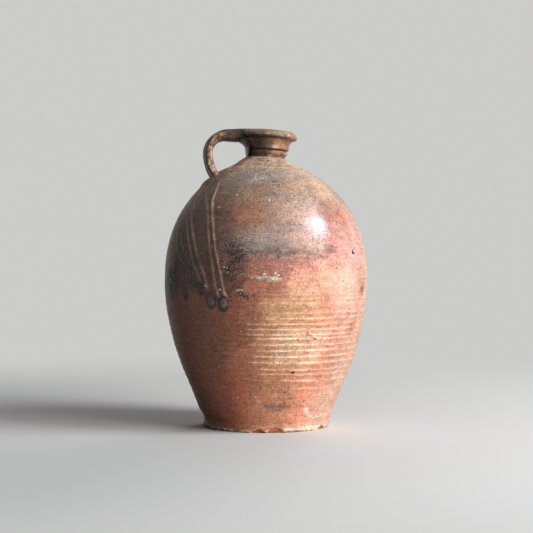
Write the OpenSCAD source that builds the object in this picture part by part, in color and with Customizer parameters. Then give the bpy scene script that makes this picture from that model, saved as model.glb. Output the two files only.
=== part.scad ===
// A wheel-thrown stoneware jug with a narrow mouth and one strap handle, in millimetres.
// The origin is the centre of the foot, on the surface it stands on. +Z is up. The handle is on the -X side.

/* [Body] */
// Radius of the foot
foot_r = 75; // [64:0.5:90]
// Height of the upright band above the foot's edge
foot_h = 10; // [6:0.5:20]
// Bevel worn along the foot's lower edge
foot_bevel = 1.4; // [0.5:0.1:3]
// Radius of the belly, the widest place
belly_r = 120.2; // [100:0.2:145]
// Height of the belly
belly_z = 177.5; // [145:0.5:212]
// Height at which the shoulder meets the neck
body_h = 318; // [290:1:380]
// Radius of the flank's arc, as a share of the one that would run unbroken from belly to foot
flank_fullness = 0.88; // [0.75:0.01:1]
// Slope of the shoulder beside the neck, in degrees from level
shoulder_slope = 30.5; // [22:0.5:36]
// Degrees above the belly at which the shoulder's tighter arc takes over
shoulder_turn = 17.5; // [10:0.5:32]
// Radius of the belly's arc over that of the shoulder's
arc_ratio = 1.4; // [1.2:0.05:2.2]
// Thickness of the wall
wall = 7.5; // [5:0.25:10]
// Thickness of the floor
floor_t = 11; // [7:0.5:16]
// Chamfer inside, where the wall meets the floor
floor_chamfer = 10; // [4:0.5:16]

/* [Throwing rings] */
// Height of the lowest finger groove
ring_z = 47; // [35:1:70]
// Height of one groove
ring_pitch = 7; // [5:0.25:10]
// Depth of the lowest groove
ring_depth = 0.6; // [0.3:0.05:1.2]
// Depth of the highest groove
ring_top_depth = 0.25; // [0.15:0.05:0.6]
// Number of grooves
ring_count = 18; // [4:1:20]

/* [Neck] */
// Lean of the neck away from the handle, in degrees
neck_lean = 4; // [0:0.5:6]
// Radius at the root of the neck
neck_root_r = 22.4; // [20:0.2:26]
// Radius of the neck's collar
neck_r = 26.4; // [24:0.2:30]
// Radius of the bead's section, round the root
bead_r = 3.4; // [2:0.1:4]
// Height of the collar's lower edge over the shoulder
collar_z = 9.4; // [7:0.2:12]
// Height at which the collar starts to flare
flare_z = 13.5; // [12:0.5:20]
// Radius of the hollow under the lip
flare_r = 9.5; // [6:0.25:12]
// Radius of the rim
rim_r = 35.4; // [33:0.2:44]
// Radius of the lip's outer face, in section
lip_r = 7.6; // [7:0.1:10]
// Radius of the lip's lower edge, in section
lip_edge_r = 1.7; // [1:0.1:3]
// Radius of the lip's inner edge, in section
lip_inner_r = 3; // [2:0.1:4]
// Radius of the throat, which takes a cork
throat_r = 15.5; // [12:0.25:18]
// Height over the shoulder at which the throat opens into the mouth
throat_z = 12; // [8:0.5:16]

/* [Handle] */
// Distance of the strap's middle from the axis, at its farthest
handle_reach = 69.8; // [64:0.2:86]
// Depth of the strap's top below the rim's highest place
handle_drop = -1; // [-3:0.2:4]
// Radius of the strap's upper bend
handle_bend_r = 22; // [17:0.5:27]
// Radius of the strap's fall to the shoulder
handle_fall_r = 46; // [42:1:80]
// Width of the strap
strap_w = 25; // [18:0.5:32]
// Thickness of the strap at the rim
strap_top_t = 16.5; // [12:0.25:18]
// Thickness of the strap at its lower end
strap_low_t = 10; // [7:0.25:12]
// Added width where the strap is smeared on to the shoulder
strap_spread = 9; // [2:0.5:14]
// Depth of the thumb groove along the strap
thumb_groove = 1.2; // [0.4:0.1:2]
// Radius of the clay smeared into the corner under the strap, against the neck
web_r = 9; // [4:0.5:12]

/* [Glaze drops and chips] */
// Radius of a glaze drop
drop_r = 6.5; // [4:0.25:8]
// How far a drop stands proud of the wall
drop_proud = 2.4; // [1:0.1:3]
// Radius of the chips in the foot's edge
chip_r = 9; // [5:0.5:12]
// How far a chip bites into the foot
chip_bite = 3; // [1:0.25:5]

/* [Hidden] */
$fn = 96;

clay = "sienna";
over = 1;                  // how far a cutting shape runs past what it cuts
level_step = 4;            // height between two corners of the outline, at most
groove_steps = 4;          // corners of the outline on each finger groove
neck_sink = wall * 0.6;    // how deep the neck is set into the shoulder
strap_sink = wall;         // how deep the strap's lower end is set into the shoulder
bead_sink = 0.8;           // how deep the middle of the bead's section lies inside the root
lip_edge_lap = 0.25;       // how far the lip's lower edge is let down into the hollow under it
throat_lap = wall * 2;     // how far the throat is cut down past the level where the neck starts
crown_step = 3;            // how much narrower than the throat the cavity is at its top
root_stations = 6;         // sections from the neck to the strap's upper bend
strap_stations = 13;       // sections along each of the strap's two bends
strap_sides = 18;          // corners of one section
strap_squareness = 2.6;    // exponent of the section: 2 is an ellipse
low_end_share = 0.25;      // share of the strap over which its lower end widens
rim_end_share = 0.2;       // share of the strap over which its upper end widens
rim_spread = strap_spread / 2;   // added width where the strap meets the rim
chip_angles = [-106, -88, -70];                        // degrees round the foot, from +X
drops = [[-133, 150], [-125, 145.5], [-153, 159]];     // degrees from +X, and height

// The flank: an arc that is upright at the belly, then a straight run tangent to it down to the foot
flank_full_r = (pow(belly_z - foot_h, 2) + pow(belly_r - foot_r, 2)) / (2 * (belly_r - foot_r));
flank_arc_r = flank_fullness * flank_full_r;
flank_centre = [belly_r - flank_arc_r, belly_z];
foot_way = [foot_r, foot_h] - flank_centre;
flank_angle = atan2(-foot_way[1], foot_way[0]) - acos(min(1, flank_arc_r / norm(foot_way)));

// The shoulder: two arcs that share a tangent, then a straight run tangent to the second up to the neck
top_normal = 90 - shoulder_slope;
turn_cos = cos(top_normal - shoulder_turn);
shoulder_arc_r = ((body_h - belly_z) * sin(top_normal) - (belly_r - neck_root_r) * cos(top_normal))
    / ((1 - turn_cos) + arc_ratio * (turn_cos - cos(top_normal)));
belly_arc_r = arc_ratio * shoulder_arc_r;
belly_centre = [belly_r - belly_arc_r, belly_z];
shoulder_centre = belly_centre
    + (belly_arc_r - shoulder_arc_r) * [cos(shoulder_turn), sin(shoulder_turn)];

// Points of the outline, set in from the outer face by a given depth
function flank_end(inset) = flank_centre + (flank_arc_r - inset) * [cos(flank_angle), -sin(flank_angle)];
function flank_at(inset, z) = flank_end(inset)[0] - (flank_end(inset)[1] - z) * tan(flank_angle);
function turn_end(inset) =
    belly_centre + (belly_arc_r - inset) * [cos(shoulder_turn), sin(shoulder_turn)];
function shoulder_end(inset) =
    shoulder_centre + (shoulder_arc_r - inset) * [cos(top_normal), sin(top_normal)];
function neck_end(inset, r) =
    [r, shoulder_end(inset)[1] + (shoulder_end(inset)[0] - r) * tan(shoulder_slope)];
function arc_at(centre, r, z) = centre[0] + sqrt(max(0, r * r - pow(z - centre[1], 2)));

// Radius at a height of the outline that is set in from the outer face by a given depth
function outline_r(z, inset = 0) =
    z < flank_end(inset)[1] ? flank_at(inset, z) :
    z < belly_z ? arc_at(flank_centre, flank_arc_r - inset, z) :
    z < turn_end(inset)[1] ? arc_at(belly_centre, belly_arc_r - inset, z) :
    z < shoulder_end(inset)[1] ? arc_at(shoulder_centre, shoulder_arc_r - inset, z) :
    shoulder_end(inset)[0] - (z - shoulder_end(inset)[1]) / tan(shoulder_slope);
// Corners of that outline between two heights
function levels(low, high, inset) =
    let (n = ceil((high - low) / level_step))
    [for (i = [0:n]) let (z = low + (high - low) * i / n) [outline_r(z, inset), z]];

// Finger grooves: how far up each one reaches, how deep it is, and the corners of its section
rings_low = ring_z - ring_pitch / 2;
rings_high = rings_low + ring_count * ring_pitch;
function groove_depth(i) = ring_depth + (ring_top_depth - ring_depth) * i / (ring_count - 1);
function grooves() =
    [for (i = [0:ring_count - 1], k = [1:groove_steps])
        let (share = k / groove_steps, z = rings_low + (i + share) * ring_pitch)
        [outline_r(z) - groove_depth(i) * (1 - pow(2 * share - 1, 2)), z]];

// The neck's own places, over the shoulder and before it leans
flare_centre = [neck_r + flare_r, flare_z];
lip_edge_x = rim_r - lip_edge_r;
lip_edge_centre = [lip_edge_x,
    flare_z + sqrt(pow(flare_r, 2) - pow(flare_centre[0] - lip_edge_x, 2)) + lip_edge_r - lip_edge_lap];
lip_centre = [rim_r - lip_r, lip_edge_centre[1]];
lip_top = lip_centre[1] + lip_r;
lip_inner_centre = [lip_centre[0], lip_top - lip_inner_r];

// The strap's middle line: along from the rim, round the upper bend, then down the fall
rim_top = body_h + lip_top * cos(neck_lean) + lip_centre[0] * sin(neck_lean);
strap_z = rim_top - handle_drop - strap_top_t / 2;
bend_centre = [handle_reach - handle_bend_r, strap_z - handle_bend_r];
fall_centre = [handle_reach - handle_fall_r, bend_centre[1]];
strap_start = neck_root_r;
function fall_point(a) = fall_centre + handle_fall_r * [cos(a), -sin(a)];
fall_angle = [for (a = [1:0.5:89]) if (outline_r(fall_point(a)[1]) - fall_point(a)[0] > strap_sink) a][0];

// Each station: place, and direction of travel in degrees from -X towards -Z
strap_line = concat(
    [for (i = [0:root_stations])
        [[strap_start + (bend_centre[0] - strap_start) * i / root_stations, strap_z], 0]],
    [for (i = [1:strap_stations]) let (a = 90 * i / strap_stations)
        [bend_centre + handle_bend_r * [sin(a), cos(a)], a]],
    [for (i = [1:strap_stations]) let (a = fall_angle * i / strap_stations)
        [fall_point(a), 90 + a]]);

function ease(t) = t * t * (3 - 2 * t);
function strap_share(i) = i / (len(strap_line) - 1);
function strap_half_w(i) = strap_w / 2
    + strap_spread / 2 * ease(max(0, 1 - (1 - strap_share(i)) / low_end_share))
    + rim_spread / 2 * ease(max(0, 1 - strap_share(i) / rim_end_share));
function strap_half_t(i) = (strap_top_t + (strap_low_t - strap_top_t) * strap_share(i)) / 2;
// Depth of the smeared clay under the strap, at a distance from the neck's axis
function web_drop(r) =
    let (way = min(web_r, max(0, neck_r + web_r - r))) web_r - sqrt(pow(web_r, 2) - pow(way, 2));
function power(x, e) = sign(x) * pow(abs(x), e);
// One corner of a section: across the strap, and out from its middle line
function strap_corner(i, j) =
    let (a = 360 * j / strap_sides,
         across = strap_half_w(i) * power(cos(a), 2 / strap_squareness),
         half_t = strap_half_t(i) + (sin(a) < 0 ? web_drop(strap_line[i][0][0]) : 0),
         out = half_t * power(sin(a), 2 / strap_squareness),
         dip = sin(a) > 0 ? thumb_groove * pow(cos(min(90, 180 * abs(across) / strap_w)), 2) : 0)
    [across, out - dip];
function strap_vertex(i, j) =
    let (place = strap_line[i][0], a = strap_line[i][1], corner = strap_corner(i, j),
         r = place[0] + corner[1] * sin(a), z = place[1] + corner[1] * cos(a))
    [-r, corner[0], z];

// The foot band with its bevel, the flank with its grooves, and the shoulder up to the neck
module body_shell() {
    rotate_extrude() polygon(concat(
        [[0, 0], [foot_r - foot_bevel, 0], [foot_r, foot_bevel * 2]],
        levels(foot_h, rings_low, 0),
        grooves(),
        levels(rings_high + ring_pitch / 2, shoulder_end(0)[1], 0),
        [neck_end(0, neck_root_r), [0, body_h]]));
}

module cavity() {
    rotate_extrude() polygon(concat(
        [[0, floor_t], [flank_at(wall, floor_t) - floor_chamfer, floor_t]],
        levels(floor_t + floor_chamfer, shoulder_end(wall)[1], wall),
        [neck_end(wall, throat_r - crown_step), [0, neck_end(wall, throat_r - crown_step)[1]]]));
}

// Stands a shape that is drawn over the shoulder on the leaning neck
module on_neck() {
    translate([0, 0, body_h]) rotate([0, neck_lean, 0]) children();
}

module neck_outline() {
    // root and bead
    translate([0, -neck_sink]) square([neck_root_r, neck_sink + collar_z]);
    translate([neck_root_r - bead_sink, collar_z - bead_r]) circle(r = bead_r);
    // collar, flare and underside of the lip
    difference() {
        translate([0, collar_z]) square([lip_edge_centre[0], lip_edge_centre[1] - collar_z]);
        translate(flare_centre) circle(r = flare_r);
        translate([neck_r, 0]) square([rim_r, flare_z]);
    }
    // lip
    translate(lip_edge_centre) circle(r = lip_edge_r);
    intersection() {
        translate(lip_centre) circle(r = lip_r);
        translate([0, lip_centre[1]]) square([rim_r + over, lip_r + over]);
    }
    translate([0, lip_centre[1]]) square([lip_centre[0], lip_r]);
}

module neck() {
    on_neck() rotate_extrude() neck_outline();
}

// The throat and the mouth above it
module mouth() {
    mouth_r = lip_inner_centre[0] - lip_inner_r;
    on_neck() {
        translate([0, 0, -throat_lap]) cylinder(r = throat_r, h = throat_lap + throat_z);
        rotate_extrude() {
            polygon([[0, throat_z], [throat_r, throat_z], [mouth_r, lip_inner_centre[1]],
                [0, lip_inner_centre[1]]]);
            difference() {
                translate([0, lip_inner_centre[1]]) square([lip_inner_centre[0], lip_inner_r + over]);
                translate(lip_inner_centre) circle(r = lip_inner_r);
            }
        }
    }
}

module handle() {
    last = len(strap_line) - 1;
    n = strap_sides;
    polyhedron(
        points = [for (i = [0:last], j = [0:n - 1]) strap_vertex(i, j)],
        faces = concat(
            [[for (j = [n - 1:-1:0]) j]],
            [for (i = [0:last - 1], j = [0:n - 1])
                [i * n + j, i * n + (j + 1) % n, (i + 1) * n + (j + 1) % n, (i + 1) * n + j]],
            [[for (j = [0:n - 1]) last * n + j]]));
}

module glaze_drops() {
    for (d = drops)
        rotate([0, 0, d[0]]) translate([outline_r(d[1]) + drop_proud - drop_r, 0, d[1]]) sphere(r = drop_r);
}

module chips() {
    for (a = chip_angles)
        rotate([0, 0, a]) translate([foot_r + chip_r - chip_bite, 0, -foot_bevel]) sphere(r = chip_r);
}

module jug() {
    color(clay) difference() {
        union() {
            body_shell();
            neck();
            handle();
            glaze_drops();
        }
        cavity();
        mouth();
        chips();
    }
}

jug();
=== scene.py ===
import math
from types import SimpleNamespace

import bpy
import numpy as np
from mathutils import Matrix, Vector


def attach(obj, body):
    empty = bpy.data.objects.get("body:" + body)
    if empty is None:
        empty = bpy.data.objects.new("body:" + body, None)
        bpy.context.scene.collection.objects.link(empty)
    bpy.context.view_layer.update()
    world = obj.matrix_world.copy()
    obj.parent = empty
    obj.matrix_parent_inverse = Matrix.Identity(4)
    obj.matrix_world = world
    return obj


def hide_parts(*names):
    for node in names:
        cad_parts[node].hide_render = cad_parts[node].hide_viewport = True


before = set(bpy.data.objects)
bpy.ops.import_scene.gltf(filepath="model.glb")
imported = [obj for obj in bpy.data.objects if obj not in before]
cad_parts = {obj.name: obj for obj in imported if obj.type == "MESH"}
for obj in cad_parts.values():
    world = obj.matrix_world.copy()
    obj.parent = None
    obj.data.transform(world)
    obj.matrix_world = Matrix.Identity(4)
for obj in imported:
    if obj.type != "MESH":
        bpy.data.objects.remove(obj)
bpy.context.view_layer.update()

# Units: shapes are worked out in millimetres and written to meshes in metres
METRES = 0.001
TAU = 2 * math.pi

# Outline of the body, the same values as the solid's
FOOT_R = 75.0
FOOT_H = 10.0
FOOT_BEVEL = 1.4
BELLY_R = 120.2
BELLY_Z = 177.5
BODY_H = 318.0
FLANK_FULLNESS = 0.88
SHOULDER_SLOPE = math.radians(30.5)
SHOULDER_TURN = math.radians(17.5)
ARC_RATIO = 1.4
WALL = 7.5
FLOOR_T = 11.0
FLOOR_CHAMFER = 10.0

# Neck, in heights over the shoulder and before it leans
NECK_LEAN = math.radians(4.0)
NECK_ROOT_R = 22.4
NECK_R = 26.4
BEAD_R = 3.4
BEAD_SINK = 0.8
COLLAR_Z = 9.4
FLARE_Z = 13.5
FLARE_R = 9.5
RIM_R = 35.4
LIP_R = 7.6
LIP_EDGE_R = 1.7
LIP_INNER_R = 3.0
THROAT_R = 15.5
THROAT_Z = 12.0
LEAN_START_R = 46.0

# Handle
HANDLE_REACH = 69.8
HANDLE_RISE = 1.0
BEND_R = 22.0
FALL_R = 46.0
FALL_ANGLE = math.radians(37)
STRAP_W = 25.0
STRAP_TOP_T = 16.5
STRAP_LOW_T = 10.0
STRAP_SQUARENESS = 2.8
HANDLE_SIDE = 180.0

# Clay smeared in an arch from the strap's underside down the neck: heights over the shoulder, and radii
ARCH_UP = (0, 5, 11.2, 16, 18.6, 20.1)
ARCH_R = (22.7, 22.8, 23.9, 27.3, 33.0, 38.0)

# The photo's camera stands this far round from the side that faces -Y, in degrees
PHOTO_AZIMUTH = -10.0
# Angles on the jug count from +X, and this one is the middle of the photo
PHOTO_MIDDLE = -100.0

# How finely the meshes are divided, in corners round a ring, rows, and millimetres
COLUMNS = 380
INNER_RATIO = 4
NECK_COLUMNS = 300
NECK_STEP = 0.85
STRAP_COLUMNS = 96
STRAP_ROWS = 220
TOP_STEP = 1.9
ANGLE_SAMPLES = 7201

# Heights of the crests of the finger rings, and where the rows between two crests lie
CREST_Z = [26, 35, 42, 50.4, 60.7, 68, 73.6, 82, 89.1, 95.9, 102.5, 109.7, 113.7, 119.8, 125.8, 132,
           137.7, 147.9, 153.1, 158, 168.4, 178.4, 188.3, 199.4, 210, 221, 233, 244, 256, 267, 278, 288, 297]
RING_SHARES = (0.0, 0.1, 0.3, 0.5, 0.7, 0.9)
FAINT_SHARES = (0.0, 0.2, 0.4, 0.6, 0.8)
FAINT_FROM_Z = 195.0

# Depth of the finger rings at some heights
DEPTH_Z = (12, 30, 50, 120, 150, 175, 200, 300)
DEPTHS = (0.0, 0.22, 0.5, 0.55, 0.42, 0.22, 0.12, 0.1)

# Sideways wander of the thrown wall at some heights, towards the photo's right
WANDER_Z = (0, 12, 30, 45, 65, 90, 110, 130, 150, 165, 178, 205, 225, 245, 265, 290, 318)
WANDERS = (0, 0, 0.1, 0.4, 0.2, 0.2, 0.1, -0.3, -0.4, -0.3, 0, 0.1, 0.3, 0.4, 0.2, -0.4, -0.2)

# Runs of glaze: how far proud, half width, strength of colour, and the way down as angles and heights
RUNS = {
    "a_left": (0.75, 1.5, 1.0, [
        (-154.4, 277.4), (-143.3, 259.4), (-137.7, 242.0), (-135.0, 226.2), (-132.6, 210.4),
        (-130.1, 191.5), (-129.1, 178.1), (-127.7, 165.9), (-126.2, 157.0)]),
    "a_right": (0.8, 1.7, 1.0, [
        (-149.6, 291.6), (-143.1, 277.5), (-140.8, 266.3), (-137.3, 254.6), (-133.3, 238.6), (-130.8, 222.8),
        (-128.6, 207.1), (-126.1, 191.5), (-124.9, 181.5), (-122.9, 162.7), (-121.3, 154.9)]),
    "b_left": (0.6, 1.5, 1.0, [
        (-163.1, 252.1), (-156.0, 239.1), (-150.6, 223.0), (-146.5, 208.2), (-142.5, 191.3),
        (-139.8, 182.3), (-137.7, 174.5)]),
    "b_right": (0.75, 1.7, 1.0, [
        (-164.3, 280.3), (-161.6, 271.9), (-155.3, 248.6), (-149.4, 234.7), (-144.8, 218.7),
        (-140.5, 202.9), (-136.8, 188.0), (-134.9, 180.2), (-133.0, 163.5)]),
    "c": (0.45, 1.4, 0.6, [(-166.5, 236), (-163.1, 220.8), (-159.6, 210.4), (-153.9, 196.8)]),
    "d": (0.4, 1.3, 0.6, [(-160.5, 230), (-157.1, 218.4), (-153.1, 207.6)]),
    "e": (0.4, 1.4, 0.6, [(-172.5, 262), (-173.4, 231.4), (-171, 212)]),
}
RUN_PAIRS = (("a_left", "a_right"), ("b_left", "b_right"))
BED_PROUD = 0.25

# Drops of glaze, each (angle, height, half width, half height) and how far proud
BIG_DROPS = [((-123.3, 148.9, 5.6, 7.6), 2.3), ((-130.9, 152.5, 5.2, 8.2), 2.1)]
BROWN_DROP = ((-150.6, 160.5, 6.0, 8.0), 1.0)
RING_DROP = ((-147.1, 181.0, 3.8, 4.5), 0.8)

# The pale scar and its two raised flakes
SCAR_ANGLE = -98.5
SCAR_Z = 177.3
SCAR_SLANT = 0.06
SCAR_HALF_W = 17.0
SCAR_HALF_H = 2.9
SCAR_DEGREE = 2.05
FLAKES = ((-100.4, 182.9), (-95.5, 181.6))
FLAKE_HALF_W = 3.2
FLAKE_HALF_H = 1.6

# Crusty patches in the dark glaze, each (angle, height, half width, half height)
ROUGH_PATCHES = [(-117, 207, 14, 15), (-163, 178, 22, 18), (-140, 167, 10, 6)]
PATCH_DEGREE = 2.0

# Clay smeared on to the shoulder round the strap's root
STRAP_ROOT = (HANDLE_SIDE, 295.0, 20.0, 15.0 / 1.4)
STRAP_ROOT_PROUD = 2.6

# The foot: how far it runs out at the photo's right, and how rough its clay is
FOOT_SPREAD = 1.7
FOOT_ROUGH = 0.35

# Chips in the foot's edge: angle, half width in degrees, height, depth
CHIPS = [(-107.5, 6.6, 4.9, 2.6), (-91.5, 7.2, 6.4, 3.0), (-80, 3.0, 3.2, 1.4), (-70, 8.0, 2.2, 1.0),
         (-40, 6.0, 5.0, 1.8), (-137, 3.0, 2.6, 1.4), (15, 7, 3.5, 1.6), (64, 5, 4.0, 2.2),
         (118, 8, 2.6, 1.3), (-170, 5, 3.0, 1.5)]


# Noise

HASH_AXES = np.array([374761393, 668265263, 2147483647])
HASH_ROUNDS = ((13, 1274126177), (16, 2246822519))
HASH_BITS = 0xFFFFFFFF
VALUE_BITS = 0xFFFFFF
LAYER_SEEDS = 17

# Unevenness of the clay: how far, how wide, how much quicker it changes upward, seed, layers
BODY_WAVES = ((0.35, 60.0, 1.0, 11, 2), (0.16, 14.0, 1.0, 23, 2), (0.10, 22.0, 6.0, 31, 2))
NECK_WAVES = ((0.22, 18.0, 1.0, 101, 2), (0.2, 9.0, 3.0, 103, 2), (0.1, 3.5, 1.0, 107, 2))
STRAP_WAVES = ((0.45, 9.0, 0.5, 121, 2), (0.18, 4.0, 1.0, 123, 2), (0.35, 26.0, 1.0, 127, 1))


def hashed(cell, seed):
    """A repeatable number from 0 to 1 for each whole-numbered cell in the last axis."""
    h = (cell @ HASH_AXES + seed * HASH_ROUNDS[0][1]) & HASH_BITS
    for shift, factor in HASH_ROUNDS:
        h = ((h ^ (h >> shift)) * factor) & HASH_BITS
    return ((h ^ (h >> 15)) & VALUE_BITS) / VALUE_BITS


def noise(p, seed):
    """Smooth noise from -1 to 1, one cell per unit, at points in the last axis of p."""
    cell = np.floor(p).astype(np.int64)
    f = p - cell
    f = f * f * f * (f * (f * 6 - 15) + 10)
    sides = (1 - f, f)
    total = 0.0
    for corner in np.ndindex(2, 2, 2):
        x, y, z = (sides[side][..., axis] for axis, side in enumerate(corner))
        total = total + x * y * z * hashed(cell + corner, seed)
    return total * 2 - 1


def fbm(p, size, seed, octaves=3):
    """Layered noise whose largest features are about as wide as size."""
    weights = [0.5 ** k for k in range(octaves)]
    layers = [w * noise(p * (2 ** k) / size, seed + LAYER_SEEDS * k) for k, w in enumerate(weights)]
    return sum(layers) / sum(weights)


def waves(p, rows):
    return sum(far * fbm(p * [1, 1, quicker], wide, seed, layers)
               for far, wide, quicker, seed, layers in rows)


def smooth(low, high, x):
    t = np.clip((x - low) / (high - low), 0, 1)
    return t * t * (3 - 2 * t)


def fall(low, high, x):
    return 1 - smooth(low, high, x)


def bell(x, width):
    return np.exp(-(x / width) ** 2)


def band(x, low, high, soft):
    """One between low and high, and falling to nothing over soft beyond either."""
    return smooth(low - soft, low, x) * fall(high, high + soft, x)


def turn(theta, centre):
    """Signed way round from an angle in degrees to theta in radians, in degrees."""
    return (np.degrees(theta) - centre + 180) % 360 - 180


def round_points(r, theta, z):
    return np.stack([r * np.cos(theta), r * np.sin(theta), z], -1)


def arc_length(x, y):
    """How far along a line each of its points lies."""
    return np.concatenate([[0], np.cumsum(np.hypot(np.diff(x), np.diff(y)))])


def arc_points(centre, radius, start, end, count):
    angles = np.radians(np.linspace(start, end, count))
    return [(centre[0] + radius * math.cos(a), centre[1] + radius * math.sin(a)) for a in angles]


# The body's outline: a straight above the foot, three arcs and a straight slope

flank_full_r = ((BELLY_Z - FOOT_H) ** 2 + (BELLY_R - FOOT_R) ** 2) / (2 * (BELLY_R - FOOT_R))
flank_arc_r = FLANK_FULLNESS * flank_full_r
flank_centre_r = BELLY_R - flank_arc_r
foot_across = FOOT_R - flank_centre_r
foot_down = BELLY_Z - FOOT_H
foot_share = min(1, flank_arc_r / math.hypot(foot_across, foot_down))
flank_angle = math.atan2(foot_down, foot_across) - math.acos(foot_share)
top_normal = math.pi / 2 - SHOULDER_SLOPE
top_cos, top_sin = math.cos(top_normal), math.sin(top_normal)
turn_cos = math.cos(top_normal - SHOULDER_TURN)
shoulder_rise = (BODY_H - BELLY_Z) * top_sin - (BELLY_R - NECK_ROOT_R) * top_cos
shoulder_arc_r = shoulder_rise / ((1 - turn_cos) + ARC_RATIO * (turn_cos - top_cos))
belly_arc_r = ARC_RATIO * shoulder_arc_r
belly_centre_r = BELLY_R - belly_arc_r
arc_step = belly_arc_r - shoulder_arc_r
shoulder_centre_r = belly_centre_r + arc_step * math.cos(SHOULDER_TURN)
shoulder_centre_z = BELLY_Z + arc_step * math.sin(SHOULDER_TURN)


def shoulder_end(inset):
    """Radius and height where the shoulder's arc passes into its straight slope."""
    arc = shoulder_arc_r - inset
    return shoulder_centre_r + arc * top_cos, shoulder_centre_z + arc * top_sin


def arc_r(z, centre_r, centre_z, radius):
    return centre_r + np.sqrt(np.maximum(0, radius ** 2 - (z - centre_z) ** 2))


def outline_r(z, inset=0.0):
    """Radius at a height of the outline that is set in from the outer face."""
    z = np.asarray(z, dtype=float)
    flank = flank_arc_r - inset
    low_z = BELLY_Z - flank * math.sin(flank_angle)
    straight = flank_centre_r + flank * math.cos(flank_angle) - (low_z - z) * math.tan(flank_angle)
    belly = belly_arc_r - inset
    end_r, end_z = shoulder_end(inset)
    tops = (low_z, BELLY_Z, BELLY_Z + belly * math.sin(SHOULDER_TURN), end_z)
    parts = (straight, arc_r(z, flank_centre_r, BELLY_Z, flank), arc_r(z, belly_centre_r, BELLY_Z, belly),
             arc_r(z, shoulder_centre_r, shoulder_centre_z, shoulder_arc_r - inset))
    return np.select([z < top for top in tops], parts, end_r - (z - end_z) / math.tan(SHOULDER_SLOPE))


def body_rows():
    """Radius and height of the rows of the outer face. The finger rings have a row on every crest."""
    rows = [(FOOT_R - FOOT_BEVEL, 0.0), (FOOT_R - 0.55 * FOOT_BEVEL, 0.45 * FOOT_BEVEL)]
    rows += [(FOOT_R, z) for z in np.linspace(2 * FOOT_BEVEL, FOOT_H, 8)[:-1]]
    heights = list(np.linspace(FOOT_H, CREST_Z[0], 11)[:-1])
    for low, high in zip(CREST_Z[:-1], CREST_Z[1:]):
        shares = RING_SHARES if high < FAINT_FROM_Z else FAINT_SHARES
        heights += [low + (high - low) * k for k in shares]
    z = np.linspace(CREST_Z[-1], BODY_H, 400)
    arc = arc_length(outline_r(z), z)
    heights += list(np.interp(np.linspace(0, arc[-1], int(arc[-1] / TOP_STEP)), arc, z))
    return np.array(rows + list(zip(outline_r(heights), heights)))


# What stands on the body's face: angles are in degrees from +X, heights in millimetres

def spot(theta, z, angle, height, half_w, half_h):
    """Square of the distance from the middle of a spot, one at its edge."""
    across = np.radians(turn(theta, angle)) * outline_r(z)
    return (across / half_w) ** 2 + ((z - height) / half_h) ** 2


def run_distance(theta, z, path):
    """Sideways distance from a run in millimetres, and a share that falls to nothing past its ends."""
    angle, height = np.array(path[::-1]).T
    r = outline_r(z)
    slope = np.interp(z, height, np.gradient(np.radians(angle), height)) * r
    way = np.radians(turn(theta, 0) - np.interp(z, height, angle))
    way = (way + math.pi) % TAU - math.pi
    inside = smooth(height[0] - 3, height[0] + 2, z) * fall(height[-1] - 12, height[-1] + 3, z)
    return way * r / np.sqrt(1 + slope ** 2), inside


def run_bed(theta, z):
    """One between the two runs of a pair."""
    bed = 0.0
    for left, right in RUN_PAIRS:
        side_l, inside_l = run_distance(theta, z, RUNS[left][-1])
        side_r, inside_r = run_distance(theta, z, RUNS[right][-1])
        between = smooth(-1, 1, side_l) * smooth(-1, 1, -side_r)
        bed = np.maximum(bed, between * np.minimum(inside_l, inside_r))
    return bed


def scar_share(theta, z):
    """The scar, one along its middle line, and the height over that slanting line."""
    way = turn(theta, SCAR_ANGLE)
    over = z - SCAR_Z + SCAR_SLANT * way
    return bell(way * SCAR_DEGREE, SCAR_HALF_W) * bell(over, SCAR_HALF_H), over


def sway(theta, z):
    """How far the finger rings wander up and down, in millimetres."""
    wander = 0.9 * np.sin(theta + 0.7) + 0.5 * np.sin(2 * theta + z / 23.0)
    wander = wander + 0.25 * np.sin(5 * theta + z / 9.0)
    return wander * band(z, 30, 270, 16)


def crest_share(row_z):
    """Depth below the crests of the finger rings, from 0 at a crest to 1 between two."""
    crests = np.array(CREST_Z, dtype=float)
    k = np.clip(np.searchsorted(crests, row_z, side="right"), 1, len(crests) - 1)
    t = np.clip((row_z - crests[k - 1]) / (crests[k] - crests[k - 1]), 0, 1)
    return 1 - (2 * t - 1) ** 2


def ring_depth(theta, z):
    """Depth of the finger rings at a place, less under the dark glaze, in millimetres."""
    glazed = band(turn(theta, -150), -45, 32, 12) * smooth(120, 160, z)
    uneven = 0.8 + 0.35 * noise(np.stack([theta * 1.5, z / 9.0, 0 * z], -1), 5)
    return np.interp(z, DEPTH_Z, DEPTHS) * uneven * (1 - 0.6 * glazed)


def runs_proud(theta, z, p):
    out = BED_PROUD * run_bed(theta, z)
    uneven = 0.85 + 0.3 * noise(p / 5.0, 40)
    for proud, half_w, _, path in RUNS.values():
        side, inside = run_distance(theta, z, path)
        out = out + proud * uneven * inside * bell(side, half_w)
    return out


def drops_proud(theta, z, p):
    out = 0.0
    pebbles = 0.3 * fbm(p, 3.2, 52, 2)
    for place, proud in (*BIG_DROPS, BROWN_DROP, RING_DROP):
        inner = 1 - spot(theta, z, *place)
        out = out + proud * np.sqrt(np.maximum(0, inner)) + pebbles * smooth(0.1, 0.6, inner)
    return out


def scar_proud(theta, z, p):
    out = scar_share(theta, z)[0] * (0.9 + 1.0 * fbm(p, 4.0, 61, 2))
    for angle, height in FLAKES:
        across = turn(theta, angle) * SCAR_DEGREE
        out = out + bell(across, FLAKE_HALF_W) * bell(z - height, FLAKE_HALF_H)
    return out


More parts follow.
